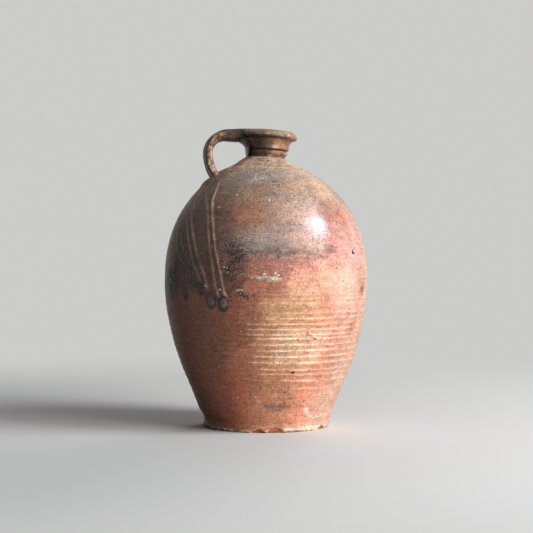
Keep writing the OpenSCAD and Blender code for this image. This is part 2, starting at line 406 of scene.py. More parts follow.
def crust_proud(theta, z, p):
    crust = [bell(turn(theta, angle) * PATCH_DEGREE, half_w) * bell(z - height, half_h)
             for angle, height, half_w, half_h in ROUGH_PATCHES]
    return 0.9 * np.max(crust, axis=0) * np.maximum(0, fbm(p, 4.5, 71, 3))


def strap_root_proud(theta, z, p):
    away = np.sqrt(spot(theta, z, *STRAP_ROOT))
    return STRAP_ROOT_PROUD * fall(0.55, 1.5, away) * (1 + 0.25 * fbm(p, 9.0, 81, 2))


def relief(theta, z, row_z):
    """How far the fired face stands out from the plain outline, in millimetres."""
    p = round_points(outline_r(z), theta, z)
    out = waves(p, BODY_WAVES) - ring_depth(theta, z) * crest_share(row_z)
    for feature in (runs_proud, drops_proud, scar_proud, crust_proud, strap_root_proud):
        out = out + feature(theta, z, p)
    return out


def lean(x, y, z, r):
    """Turns the shoulder's top and what lies above it by the neck's lean."""
    share = smooth(0, 1, (LEAN_START_R - r) / (LEAN_START_R - NECK_ROOT_R)) * smooth(270, 290, z)
    angle = NECK_LEAN * share
    up = z - BODY_H
    return x * np.cos(angle) + up * np.sin(angle), y, BODY_H - x * np.sin(angle) + up * np.cos(angle)


def chip_bite(theta, z):
    """How deep the chips cut into the foot, in millimetres."""
    ragged = 1 + 0.35 * fbm(round_points(FOOT_R, theta, z), 5.0, 91, 2)
    bite = 0.0
    for angle, half, high, deep in CHIPS:
        share = (turn(theta, angle) / half) ** 2 + (z / high) ** 2
        bite = np.maximum(bite, deep * smooth(0, 0.45, ragged - share))
    return bite


def body_point(theta, row_z, r=None, normal=None):
    """A place on the outer face of the body, with its relief, in metres."""
    if r is None:
        r = outline_r(row_z)
        rise = outline_r(row_z + 0.5) - outline_r(row_z - 0.5)
        normal = (1 / np.hypot(1, rise), -rise / np.hypot(1, rise))
    above_foot = smooth(3, 9, row_z)
    z = row_z - sway(theta, row_z)
    out = relief(theta, z, row_z) * above_foot
    rough_foot = FOOT_ROUGH * fbm(round_points(3, theta, z / 12.0), 1.0, 97, 2)
    photo = math.radians(PHOTO_AZIMUTH)
    spread = FOOT_SPREAD * np.cos(theta - photo) * band(z, 7, 14, 7) * smooth(0, 5, z)
    rr = r + outline_r(z) - outline_r(row_z) + out * normal[0] + spread
    rr = rr - chip_bite(theta, z) + rough_foot * (1 - above_foot)
    shift = np.interp(z, WANDER_Z, WANDERS)
    x = rr * np.cos(theta) + shift * math.cos(photo)
    y = rr * np.sin(theta) + shift * math.sin(photo)
    return np.stack(lean(x, y, z + out * normal[1], rr), -1) * METRES


# Meshes

def column_angles(count):
    """Angles of the columns, closer together over the runs and behind the handle."""
    t = np.linspace(-math.pi, math.pi, ANGLE_SAMPLES)
    weight = 1 + 2.0 * band(turn(t, -139), -36, 36, 8) + 0.8 * bell(turn(t, HANDLE_SIDE), 22)
    total = np.concatenate([[0], np.cumsum((weight[1:] + weight[:-1]) / 2)])
    return np.interp(np.arange(count) / count * total[-1], total, t)


def make_mesh(name, verts, faces):
    mesh = bpy.data.meshes.new(name)
    mesh.from_pydata([tuple(v) for v in verts], [], faces)
    mesh.validate()
    mesh.update()
    mesh.shade_smooth()
    obj = bpy.data.objects.new(name, mesh)
    bpy.context.scene.collection.objects.link(obj)
    return obj


def part_of_jug(obj, material):
    """Says where a finished piece belongs, and gives it its material."""
    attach(obj, "root")
    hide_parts("jug")
    obj.data.materials.append(material)


def ring_faces(low, high, n, flip=False):
    """Quads between two rings of n corners that start at the given indices."""
    j = np.arange(n)
    k = (j + 1) % n
    quads = np.stack([low + j, low + k, high + k, high + j], 1)
    return (quads[:, ::-1] if flip else quads).tolist()


def tube_faces(start, rings, n, flip=False):
    """Quads that join a number of rings of n corners, each to the next."""
    out = []
    for i in range(rings - 1):
        out += ring_faces(start + i * n, start + (i + 1) * n, n, flip)
    return out


def step_faces(fine, coarse, n, ratio, flip=False):
    """Faces between a ring of n corners and one of n / ratio."""
    out = []
    m = n // ratio
    for j in range(m):
        face = [fine + (j * ratio + k) % n for k in range(ratio + 1)]
        face += [coarse + (j + 1) % m, coarse + j]
        out.append(face[::-1] if flip else face)
    return out


def fan_faces(ring, pole, n, flip=False):
    out = [[ring + j, ring + (j + 1) % n, pole] for j in range(n)]
    return [face[::-1] for face in out] if flip else out


# Body

UNDERSIDE_R = (68.0, 40.0)
HIDDEN_Z = -1.0


def outer_face(theta):
    """The outer face as rows of points, with the angle and height of each."""
    rows = body_rows()
    columns = np.ones((len(rows), len(theta)))
    r, z = rows[:, 0], rows[:, 1]
    dr, dz = np.gradient(r), np.gradient(z)
    size = np.hypot(dr, dz)
    rr, zz, normal_r, normal_z = (q[:, None] * columns for q in (r, z, dz / size, -dr / size))
    tt = theta * columns
    grid = body_point(tt, zz, rr, (normal_r, normal_z))
    grid[0, :, 2] = 0.0
    return grid, tt, zz


def inner_face(theta):
    """Rings of the hidden top, the throat's lower end and the inner face down to the floor."""
    crown_r = THROAT_R + 0.5
    end_r, end_z = shoulder_end(WALL)
    crown_z = end_z + (end_r - crown_r) * math.tan(SHOULDER_SLOPE)
    levels = np.concatenate([np.linspace(crown_z, 296, 6), np.linspace(290, FLOOR_T + FLOOR_CHAMFER, 46)])
    low_r = float(outline_r(FLOOR_T, WALL)) - FLOOR_CHAMFER
    profile = [(18.6, 317.2), (crown_r, crown_z + 1.2), *zip(outline_r(levels, WALL), levels)]
    profile += [(low_r, FLOOR_T), (low_r * 0.55, FLOOR_T)]
    rings = []
    for r, height in profile:
        z = np.full(len(theta), float(height))
        wave = 0.5 * fbm(round_points(r, theta, z), 30.0, 15, 2)
        wavy_r = r + wave * (FLOOR_T + 1 < height < 300)
        rings.append(np.stack(lean(wavy_r * np.cos(theta), wavy_r * np.sin(theta), z, r), -1) * METRES)
    return rings


def build_body():
    """The thrown shell, with each corner's angle and height. Corners of the inside have HIDDEN_Z."""
    theta = column_angles(COLUMNS)
    coarse = theta[::INNER_RATIO]
    m = len(coarse)
    grid, tt, zz = outer_face(theta)
    inner = inner_face(coarse)
    under = [round_points(r, coarse, 0 * coarse) * METRES for r in UNDERSIDE_R]
    verts = np.concatenate([grid.reshape(-1, 3), *inner, [[0, 0, FLOOR_T * METRES]], *under, [[0, 0, 0]]])
    inside = tt.size
    floor_pole = inside + len(inner) * m
    underside = floor_pole + 1
    faces = tube_faces(0, len(grid), COLUMNS)
    faces += step_faces(inside - COLUMNS, inside, COLUMNS, INNER_RATIO)
    faces += tube_faces(inside, len(inner), m)
    faces += fan_faces(floor_pole - m, floor_pole, m)
    faces += step_faces(0, underside, COLUMNS, INNER_RATIO, flip=True)
    faces += tube_faces(underside, len(under), m, flip=True)
    faces += fan_faces(len(verts) - 1 - m, len(verts) - 1, m, flip=True)
    rest = len(verts) - inside
    angles = np.concatenate([tt.ravel(), np.zeros(rest)])
    heights = np.concatenate([zz.ravel(), np.full(rest, HIDDEN_Z)])
    return make_mesh("jug_body", verts, faces), angles, heights, verts


# Neck

flare_centre = (NECK_R + FLARE_R, FLARE_Z)
lip_edge_r = RIM_R - LIP_EDGE_R
lip_edge_z = FLARE_Z + math.sqrt(FLARE_R ** 2 - (flare_centre[0] - lip_edge_r) ** 2) + LIP_EDGE_R - 0.25


def neck_loop():
    """Closed section of the neck from its root up the outside, over the lip and down the throat."""
    lip_centre = (RIM_R - LIP_R, lip_edge_z)
    inner_z = lip_edge_z + LIP_R - LIP_INNER_R
    mouth = lip_centre[0] - LIP_INNER_R
    points = [(NECK_ROOT_R + 1.6, -3.0), (NECK_ROOT_R + 0.6, 0.2), (NECK_ROOT_R, 1.6)]
    points += arc_points((NECK_ROOT_R - BEAD_SINK, COLLAR_Z - BEAD_R), BEAD_R, -62, 62, 13)
    points += [(NECK_ROOT_R + 1.1, COLLAR_Z - 0.35), (NECK_R - 0.9, COLLAR_Z + 0.1),
               (NECK_R - 0.1, COLLAR_Z + 0.8), (NECK_R, COLLAR_Z + 2.4)]
    flare_end = math.degrees(math.acos((flare_centre[0] - lip_edge_r + 0.6) / FLARE_R))
    points += arc_points(flare_centre, FLARE_R, 180, 180 - flare_end, 16)
    points += arc_points((lip_edge_r, lip_edge_z), LIP_EDGE_R, -80, 0, 6)
    points += arc_points(lip_centre, LIP_R, 8, 86, 18)
    points += arc_points((lip_centre[0], inner_z), LIP_INNER_R, 90, 180, 9)
    points += [(mouth + (THROAT_R - mouth) * k, inner_z + (THROAT_Z - inner_z) * k)
               for k in (0.15, 0.35, 0.55, 0.75, 0.92)]
    points += [(THROAT_R + 0.15, THROAT_Z + 0.1), (THROAT_R, THROAT_Z - 0.8), (THROAT_R, 6.0),
               (THROAT_R, 1.0), (THROAT_R, -2.4), (18.5, -3.2)]
    return np.array(points)


def neck_section():
    """The neck's section at even steps, as radii and heights over the shoulder."""
    loop = neck_loop()
    x, y = np.vstack([loop, loop[:1]]).T
    arc = arc_length(x, y)
    at = np.linspace(0, arc[-1], int(round(arc[-1] / NECK_STEP)), endpoint=False)
    return np.interp(at, arc, x), np.interp(at, arc, y)


def build_neck():
    """The neck with its leaning throat, with each corner's angle, height over the shoulder and radius."""
    section_r, section_t = neck_section()
    way_r, way_t = (np.roll(q, -1) - np.roll(q, 1) for q in (section_r, section_t))
    size = np.hypot(way_r, way_t)
    theta = np.linspace(-math.pi, math.pi, NECK_COLUMNS, endpoint=False)
    tt, r, t, normal_r, normal_t = np.broadcast_arrays(
        theta, *(q[:, None] for q in (section_r, section_t, way_t / size, -way_r / size)))
    p = round_points(r, tt, t + BODY_H)
    rough = waves(p, NECK_WAVES) + 0.45 * bell(turn(tt, HANDLE_SIDE), 55) * fbm(p, 7.0, 109, 3)
    out = rough * smooth(THROAT_R + 1, THROAT_R + 6, r)
    rr = r + out * normal_r
    up = t + out * normal_t
    # the strap's clay is smeared down the neck in an arch
    arch = np.interp(t + math.sin(NECK_LEAN) * r, ARCH_UP, ARCH_R) + rough
    smeared = bell(turn(tt, HANDLE_SIDE), 36) * smooth(-3, 0, t) * fall(19, 23, t) * (r > NECK_ROOT_R - 1)
    rr = rr + np.maximum(arch - rr, -4.0) * np.clip(1.5 * smeared, 0, 1)
    x = rr * np.cos(tt)
    verts = np.stack([x * math.cos(NECK_LEAN) + up * math.sin(NECK_LEAN), rr * np.sin(tt),
                      BODY_H - x * math.sin(NECK_LEAN) + up * math.cos(NECK_LEAN)], -1)
    verts = verts.reshape(-1, 3) * METRES
    rings = len(section_r)
    faces = tube_faces(0, rings, NECK_COLUMNS) + ring_faces((rings - 1) * NECK_COLUMNS, 0, NECK_COLUMNS)
    return make_mesh("jug_neck", verts, faces), tt.ravel(), t.ravel(), r.ravel(), verts


# Handle

def strap_line():
    """Radius, height and turn of the strap's middle line at even steps, and its length."""
    lip_top = lip_edge_z + LIP_R
    rim_top = BODY_H + lip_top * math.cos(NECK_LEAN) + (RIM_R - LIP_R) * math.sin(NECK_LEAN)
    mid_z = rim_top + HANDLE_RISE - STRAP_TOP_T / 2
    bend_r, bend_z = HANDLE_REACH - BEND_R, mid_z - BEND_R
    fall_r = HANDLE_REACH - FALL_R
    start_r = NECK_ROOT_R - 1
    line = [(start_r + (bend_r - start_r) * k / 24, mid_z, 0.0) for k in range(24)]
    line += [(bend_r + BEND_R * math.sin(a), bend_z + BEND_R * math.cos(a), a)
             for a in np.linspace(0, math.pi / 2, 40)]
    line += [(fall_r + FALL_R * math.cos(a), bend_z - FALL_R * math.sin(a), math.pi / 2 + a)
             for a in np.linspace(0, FALL_ANGLE, 42)[1:]]
    line = np.array(line).T
    arc = arc_length(line[0], line[1])
    at = np.linspace(0, arc[-1], STRAP_ROWS)
    return [np.interp(at, arc, part)[:, None] for part in line], arc[-1]


def strap_section(s, r, z):
    """Half width, half thickness above and half thickness below, along the strap."""
    root = fall(0.0, 0.26, s)
    half_w = STRAP_W / 2 + 4.6 * smooth(0.78, 1.0, s) ** 1.6 + 3.2 * root ** 1.5
    half_t = (STRAP_TOP_T + (STRAP_LOW_T - STRAP_TOP_T) * smooth(0.1, 0.62, s)) / 2
    drop = np.maximum(0, z - half_t - BODY_H - np.interp(r, ARCH_R, ARCH_UP))
    return half_w, half_t, half_t + np.where(s < 0.4, drop, 0)


def build_handle():
    """The strap: out from the neck, round the bend and down on to the shoulder.

    Each corner comes with its place along the strap, across it and through it.
    """
    (r, z, a), length = strap_line()
    s = np.linspace(0, 1, STRAP_ROWS)[:, None]
    half_w, above, below = strap_section(s, r, z)
    phi = np.linspace(0, TAU, STRAP_COLUMNS, endpoint=False)
    side, flat = (np.sign(q) * np.abs(q) ** (2 / STRAP_SQUARENESS) for q in (np.cos(phi), np.sin(phi)))
    across = half_w * side
    groove = 1.7 * bell(side, 0.52) - 0.55 * bell(np.abs(side) - 0.78, 0.2)
    out = np.where(flat > 0, above, below) * flat
    out = out - np.maximum(0, flat) * groove * (1 - 0.5 * fall(0.0, 0.26, s))
    p = np.stack(np.broadcast_arrays(across, out, s * length), -1)
    rough = waves(p, STRAP_WAVES) * (0.7 + 0.8 * bell(np.abs(side) - 0.95, 0.25))
    across = across + rough * np.cos(phi)
    out = out + rough * np.sin(phi)
    verts = np.stack([-(r + out * np.sin(a)), across, z + out * np.cos(a)], -1).reshape(-1, 3) * METRES
    pole = len(verts)
    verts = np.concatenate([verts, [verts[:STRAP_COLUMNS].mean(0), verts[-STRAP_COLUMNS:].mean(0)]])
    faces = tube_faces(0, STRAP_ROWS, STRAP_COLUMNS)
    faces += fan_faces(0, pole, STRAP_COLUMNS, flip=True)
    faces += fan_faces(pole - STRAP_COLUMNS, pole + 1, STRAP_COLUMNS)
    places = [np.concatenate([np.broadcast_to(q, out.shape).ravel(), ends])
              for q, ends in ((s, (0, 1)), (side, (0, 0)), (flat, (0, 0)))]
    return make_mesh("jug_handle", verts, faces), *places, verts


body, body_theta, body_z, body_verts = build_body()
neck, neck_theta, neck_t, neck_r, neck_verts = build_neck()
handle, handle_s, handle_side, handle_out, handle_verts = build_handle()


# Colours as they look in even light, from 0 to 255, except that SHADE is painted shade and CREAM is laid at
# the right edge partly as painted light

ORANGE = (190, 130, 98)
BROWN = (150, 98, 76)
SALMON = (206, 152, 128)
CREAM = (214, 182, 156)
OCHRE = (188, 150, 112)
RED = (158, 98, 78)
UMBER = (118, 86, 72)
BLACK = (40, 33, 30)
ASH = (150, 132, 116)
GREY = (132, 116, 108)
SMOKE = (100, 82, 78)
RAW_CLAY = (184, 106, 78)
INSIDE_CLAY = (138, 92, 70)
SHADE = (40, 29, 24)

# Layers that a mesh carries beside its tone, and what their three channels say
FINISHES = {"skin": ("rough", "speckle", "grain"), "marks": ("soot", "ochre", "dull")}
BODY_FINISH = {"rough": 0.34, "speckle": 0.5}
NECK_FINISH = {"rough": 0.34, "speckle": 0.3}
HANDLE_FINISH = {"rough": 0.36, "speckle": 0.4}
FIRST_GRAIN = 0.4

# Beyond any angle or height, for bands that have only one end
FAR = 999

# Noise that the colours follow: how wide, how much quicker it changes upward, seed, layers
BODY_NOISE = {"drift": (34.0, 1.0, 201, 3), "fine": (9.0, 1.0, 205, 3), "grit": (3.6, 1.0, 209, 2),
              "streak": (34.0, 5.0, 211, 3), "thin": (15.0, 7.0, 215, 3)}
NECK_NOISE = {"drift": (16.0, 1.0, 305, 2), "fine": (6.0, 1.0, 301, 3), "grit": (2.4, 1.0, 303, 2),
              "streak": (14.0, 4.0, 311, 3)}
HANDLE_NOISE = {"drift": (14.0, 1.0, 405, 2), "fine": (5.0, 1.0, 401, 3), "grit": (2.2, 1.0, 403, 2)}


def seen(colour):
    """Linear colour for the one that is seen."""
    c = np.array(colour) / 255.0
    return np.where(c <= 0.04045, c / 12.92, ((c + 0.055) / 1.055) ** 2.4)


class Paint:
    """Colour and finish of the corners of a mesh, laid on in coats.

    A coat is as strong as its amount. A named triple keeps it in a band of the field of that name, as low
    end, high end and softness, and any other named value is a finish that it brings.
    """

    def __init__(self, colour, finish, fields):
        count = len(fields.fine)
        self.fields = fields
        self.tone = np.tile(seen(colour), (count, 1))
        self.finish = {name: np.zeros(count) for names in FINISHES.values() for name in names}
        for name, value in {"grain": FIRST_GRAIN, **finish}.items():
            self.finish[name] += value

    def bounded(self, amount, bands):
        for name, limits in bands.items():
            amount = amount * band(getattr(self.fields, name), *limits)
        return amount

    def lay(self, colour, amount=1.0, **named):
        bands = {name: value for name, value in named.items() if isinstance(value, tuple)}
        mask = np.clip(self.bounded(amount, bands), 0, 1)
        if colour is not None:
            self.tone += (seen(colour) - self.tone) * mask[:, None]
        for name in named.keys() - bands.keys():
            self.finish[name] += (named[name] - self.finish[name]) * mask

    def tint(self, factors, amount=1.0, **bands):
        self.tone *= 1 + (np.array(factors) - 1) * self.bounded(amount, bands)[:, None]

    def shade(self, factor):
        self.tone *= factor[:, None]

    def write(self, obj):
        layers = {name: [self.finish[part] for part in parts] for name, parts in FINISHES.items()}
        for name, channels in {"tone": self.tone.T, **layers}.items():
            values = np.stack([*channels, np.ones(len(self.tone))], 1)
            layer = obj.data.color_attributes.new(name, "FLOAT_COLOR", "POINT")
            layer.data.foreach_set("color", np.clip(values, 0, 1).astype(np.float32).ravel())


def noise_fields(verts, table):
    """The corners' places in millimetres, and each named noise at them."""
    s = SimpleNamespace(p=verts / METRES)
    for name, (wide, quicker, seed, layers) in table.items():
        setattr(s, name, fbm(s.p * [1, 1, quicker], wide, seed, layers))
    return s


def stroke(s, z, points, half_w):
    """One along a line through places on the body, falling to nothing beside it."""
    best = np.full(len(z), 1e9)
    r = outline_r(z)
    for (a0, z0), (a1, z1) in zip(points[:-1], points[1:]):
        px, py = np.radians(turn(s.theta, a0)) * r, z - z0
        dx, dy = np.radians(a1 - a0) * r, z1 - z0
        t = np.clip((px * dx + py * dy) / (dx * dx + dy * dy), 0, 1)
        best = np.minimum(best, np.hypot(px - t * dx, py - t * dy))
    return bell(best, half_w)


def glow(s, *place):
    """One at the middle of a spot, falling to nothing round it."""
    return np.exp(-spot(s.theta, s.z, *place))


# Colours of the body

# In its fields, u is degrees right of the photo's middle and z the height; uu and zz are those with noise

# The belly's patches: colour, amount, and their bands in uu and zz
BELLY = [(RED, 0.85, (-17, 9, 6), (158, 193, 8)), ((132, 82, 62), 0.7, (-24, -8, 6), (106, 158, 10)),
         ((160, 106, 92), 0.8, (4, 24, 8), (184, 199, 5)), ((196, 130, 110), 0.5, (8, 26, 8), (176, 190, 6)),
         ((226, 160, 128), 0.4, (16, 30, 7), (164, 184, 7))]

# The tone over the belly, from left to right: colour, amount, band in uu
UPPER = [((164, 122, 100), 0.85, (-20, 10, 9)), ((190, 146, 122), 0.8, (8, 30, 9)),
         ((210, 152, 134), 0.7, (40, FAR, 12))]

# Blotches of the shoulder: colour, amount, angle, height, half width, half height
BLOTCHES = [((206, 122, 92), 0.55, -44, 246, 11, 13), ((204, 128, 92), 0.6, -52, 262, 20, 6),
            ((176, 148, 132), 0.6, -30, 236, 9, 16)]

# Lower edge of the dark glaze: u and height
GLAZE_EDGE = [(-180, 190), (-130, 184), (-112, 190), (-100, 172), (-84, 158), (-74, 156), (-68, 160),
              (-64.5, 176), (-61, 186), (-57, 190), (-52, 184), (-48, 176), (-45, 172), (-42, 166),
              (-39, 161), (-36, 159), (-33, 150), (-28, 150), (-25, 146), (-21, 148), (-18, 163), (-15, 165),
              (-12, 170), (-9, 182), (-4, 198), (6, 300), (180, 300)]

# Rows of ochre specks: height and half height
OCHRE_ROWS = ((281, 5.0), (272, 3.6), (266, 2.0))

# Broken crust round the drops: amount, angle, height, half width, half height
CRUSTS = [(1.0, -165, 171, 26, 17), (0.9, -147, 184, 10, 11), (1.0, -139, 168, 12, 6),
          (0.8, -158, 196, 12, 14)]

# Black spots: angle, height, half width, half height
BLACK_SPOTS = [(-146.9, 188.0, 3.6, 3.4), (-138.7, 168.9, 6.0, 3.4), (-137.2, 160.0, 3.0, 2.8),
               (-151.5, 163.0, 4.5, 8.0), (-118.4, 204.0, 2.2, 2.6), (-115.2, 199.0, 2.2, 1.6),
               (-121.0, 190.0, 3.5, 3.0), (-164, 160.0, 6.0, 9.0), (-168, 180.0, 8.0, 8.0),
               (-118.0, 176.0, 3.0, 2.4), (-113.0, 160.5, 3.5, 1.8), (-111.5, 157.5, 3.0, 1.6)]

# Pale trails from the handle's root: angles of the upper and lower end
TRAILS = [(-161, -150), (-167, -160), (-173, -169), (-179, -180)]
TRAIL_Z = (292, 264, 228)
TRAIL_HALF_W = 2.4

# Stains: angle, height, half width, half height, colour, amount
STAINS = [(-63.9, 159.5, 4.4, 2.4, (104, 72, 74), 1.1), (-65.4, 153.0, 5.0, 6.0, (172, 106, 74), 0.9),
          (-31.0, 164.0, 6.0, 9.0, (140, 92, 60), 1.1), (-41.1, 120.9, 4.0, 9.0, (140, 82, 46), 1.3),
          (-46.0, 130.0, 3.0, 11.0, (160, 94, 54), 1.1), (-54.7, 125.6, 3.0, 7.0, (186, 118, 84), 0.8),
          (-37.4, 128.0, 3.0, 12.0, (160, 108, 66), 1.1), (-62.0, 70.0, 9.0, 16.0, (212, 128, 96), 0.5),
          (-74.0, 34.0, 10.0, 14.0, (214, 126, 96), 0.6), (-74.0, 56.0, 10.0, 10.0, (212, 134, 102), 0.5),
          (-60.0, 172.0, 20.0, 9.0, (226, 172, 150), 0.6), (-50.0, 150.0, 6.0, 18.0, (230, 186, 164), 0.6),
          (-112.0, 92.0, 9.0, 16.0, RED, 0.4), (-118.0, 60.0, 16.0, 18.0, (160, 100, 74), 0.45),
          (-66.0, 103.0, 8.0, 4.0, (196, 126, 88), 0.6), (-44.0, 62.0, 6.0, 24.0, (190, 158, 142), 0.5),
          (-98.5, 187.0, 5.0, 3.0, (150, 80, 66), 0.6), (-80.0, 186.0, 9.0, 4.0, (206, 134, 116), 0.5),
          (60.0, 120.0, 30.0, 26.0, BROWN, 0.6), (110.0, 190.0, 34.0, 22.0, UMBER, 0.6),
          (30.0, 230.0, 26.0, 16.0, GREY, 0.5), (140.0, 70.0, 28.0, 22.0, RED, 0.6),
          (88.0, 228.0, 30.0, 12.0, (120, 100, 92), 0.6), (20.0, 60.0, 22.0, 30.0, (188, 120, 92), 0.5)]

# Scratches and short marks: their way as angles and heights, half width, colour, amount
LINES = [([(-67, 28.4), (-64.5, 24), (-59.8, 17.2)], 0.9, (250, 240, 220), 1.0),
         ([(-66.2, 27.6), (-64.8, 25)], 1.8, (232, 216, 190), 0.9),
         ([(-96.6, 22.4), (-93.5, 19), (-88, 17.6), (-84.5, 19.7)], 0.8, (206, 142, 104), 0.7),
         ([(-96.6, 21.4), (-93.5, 18), (-88, 16.6)], 0.7, (126, 76, 56), 0.5),
         ([(-134.3, 65.1), (-131.1, 59.6), (-125.1, 55.2), (-121.4, 50.9)], 0.5, (92, 56, 42), 0.6),
         ([(-115.5, 164), (-112.8, 164.6), (-110.3, 165.1)], 0.8, (214, 196, 172), 0.8),
         ([(-74.8, 114.4), (-72.4, 110.9), (-70.3, 109)], 0.8, (96, 68, 54), 0.9),
         ([(-72.4, 113.4), (-70.0, 111.4)], 0.7, (230, 200, 168), 0.8),
         ([(-133.2, 257.1), (-131.5, 256.6)], 0.8, (206, 190, 166), 0.9),
         ([(-110.5, 290.4), (-107.1, 289.8), (-103.6, 290.9)], 1.3, (214, 196, 166), 0.8),
         ([(-122.0, 176), (-112, 176.8), (-104, 177.2)], 0.5, (120, 66, 54), 0.5)]

# Last tints: factors for red, green and blue, and their bands in u and z; some darken the left, the side
# turned from the lamps, as painted shade
ALL_HEIGHTS = (-FAR, FAR, 1)
TINTS = [((0.97, 0.94, 0.95), (30, 64, 10), (140, 200, 14)),
         ((0.90, 0.99, 1.10), (2, 34, 10), (218, 272, 7)),
         ((0.87, 0.90, 0.93), (4, 40, 9), (232, 292, 8)),
         ((0.96, 0.90, 0.98), (40, 66, 8), (190, 262, 10)),
         ((0.98, 1.05, 1.12), (-10, 30, 8), (160, 206, 8)),
         ((0.78, 0.82, 0.78), (42, 56, 7), (224, 262, 9)),
         ((0.93, 0.86, 0.83), (-6, 40, 8), (268, 286, 6)),
         ((0.94, 1.02, 1.04), (54, 80, 10), (200, 240, 14)),
         ((0.94, 0.87, 0.88), (40, 62, 8), (84, 140, 12)),
         ((0.90, 0.94, 1.00), (10, 34, 8), (212, 236, 8)),
         # painted shade: darker low on the left, the side turned from the lamps
         ((0.72, 0.72, 0.72), (-FAR, -70, 26), (-FAR, 190, 25)),
         ((0.76, 0.74, 0.74), (-64, -34, 8), (172, 205, 8)),
         ((1.35, 1.35, 1.35), (-70, -24, 10), (300, FAR, 8)),
         # painted shade: darker over all the left side
         ((0.74, 0.70, 0.68), (-FAR, -62, 38), ALL_HEIGHTS),
         ((1.06, 1.05, 1.05), (-FAR, -20, 34), ALL_HEIGHTS),
         ((1.09, 1.06, 1.05), (-18, 28, 12), (20, 190, 12)),
         # painted shade: a little darker again over the left side
         ((0.93, 0.90, 0.88), (-FAR, -30, 22), ALL_HEIGHTS),
         ((0.95, 0.93, 0.95), (40, 66, 10), (190, 292, 10)),
         ((0.90, 0.92, 0.94), (-30, 44, 10), (286, FAR, 24)),
         ((1.30, 1.24, 1.20), (-90, -40, 10), (262, FAR, 26)),
         ((1.32, 1.07, 1.00), (-38, -18, 8), (12, 66, 12)),
         ((1.20, 1.34, 1.46), (8, 34, 8), (84, 116, 8)),
         ((0.90, 0.92, 0.95), (-8, 12, 6), (186, 214, 7)),
         ((1.16, 1.13, 1.12), (-90, 60, 10), (290, FAR, 26))]

# Wet-looking glaze high on the right
WET_SPOT = (-58, 232, 62, 40)


def round_the_back(u):
    """Runs the colours of the sides into each other behind, with no seam."""
    u = np.where(u > 110, 110 - 3.0 * (u - 110), u)
    return np.where(u < -130, -130 + 0.6 * (-130 - u), u)


def body_fields():
    """What the body's colours follow: places, and noise from broad drifts down to grit."""
    s = noise_fields(body_verts, BODY_NOISE)
    way = turn(body_theta, PHOTO_MIDDLE)
    s.theta, s.row_z = body_theta, body_z
    s.z = body_z - sway(body_theta, body_z)
    s.u = round_the_back(way)
    s.uu = s.u + 8 * s.drift + 4 * s.fine + 1.5 * s.grit
    s.zz = s.z + 6 * s.streak + 3 * s.fine + 1.5 * s.grit
    s.far = way + 14 * s.drift + 5 * s.fine
    s.front = fall(120, 160, np.abs(way))
    s.bloom = smooth(250, 280, s.zz + 0.10 * s.u)
    return s


def paint_sides(lay, s):
    """Brown on the left turns through orange to salmon and cream on the right, the cream at the right edge
    partly painted light.
    """
    lay(BROWN, fall(-34, 2, s.uu))
    lay((166, 102, 76), 0.5 * smooth(-18, -8, s.uu) * fall(-8, 6, s.uu), z=(60, 156, 20))
    lay(SALMON, smooth(14, 40, s.uu) * s.front)
    lay((216, 142, 112), 0.6 * bell(s.uu - 33, 8), z=(20, 140, 20))
    lay((222, 178, 158), 0.6 * bell(s.uu - 51, 8) * smooth(80, 150, s.z) * fall(190, 220, s.z))
    lay((196, 160, 142), 0.6 * bell(s.uu - 53, 7) * fall(80, 130, s.z))
    # pale cream along the right edge: partly the glaze's tone, partly painted light where that edge is lit
    # most
    lay(CREAM, 0.75 * bell(s.u - 84, 13))
    lay(OCHRE, 0.8 * bell(s.uu - 14, 13), zz=(84, 166, 18))
    lay(OCHRE, 0.6 * bell(s.uu - 4, 9), zz=(132, 166, 14))
    lay(RED, 0.6 * smooth(0.05, 0.5, s.drift), u=(100, 175, 20))


def paint_belly(lay, s):
    """Red-brown round the belly, pink to its right and paler above."""
    for colour, amount, across, up in BELLY:
        lay(colour, amount, uu=across, zz=up)
    for colour, amount, across in UPPER:
        lay(colour, amount * s.front, uu=across, zz=(210, FAR, 14))
    lay((184, 128, 104), 0.6, u=(30, 100, 12), zz=(246, 286, 8))
    lay((136, 86, 68), 0.65, uu=(-24, -6, 7), zz=(226, 262, 8))
    lay((160, 112, 84), 0.4, uu=(-12, 4, 7), zz=(242, 264, 7))
    for colour, amount, *place in BLOTCHES:
        lay(colour, amount * glow(s, *place))


def paint_dark_glaze(lay, s):
    """On the left a dark glaze ends in lobes over the brown body."""
    lobes = s.z - np.interp(s.u, *zip(*GLAZE_EDGE)) + 2.5 * s.fine + 2.0 * s.grit + 2.0 * s.drift
    side = np.maximum(fall(-24, -13, s.uu), band(s.u, -40, -12, 3) * fall(188, 206, s.zz))
    dark = side * smooth(-2.0, 2.5, lobes)
    lay((128, 92, 78), 0.95 * dark, rough=0.3)
    lay((104, 74, 64), 0.5 * dark * smooth(-0.3, 0.3, s.streak))
    lay((80, 58, 52), 0.5 * dark * smooth(0.0, 0.5, s.thin + 0.5 * s.drift))
    lay((98, 78, 76), 0.5 * dark * smooth(-40, -58, s.u), z=(150, 240, 14))
    lay((66, 48, 42), 0.6 * dark * fall(3, 14, lobes) * fall(-12, -4, s.u), soot=0.5)
    lay((128, 100, 82), 0.3 * dark * smooth(0.15, 0.5, s.fine))
    lay((108, 66, 54), 0.45 * smooth(-0.2, 0.4, s.streak), u=(-36, -14, 6), zz=(172, 240, 10))


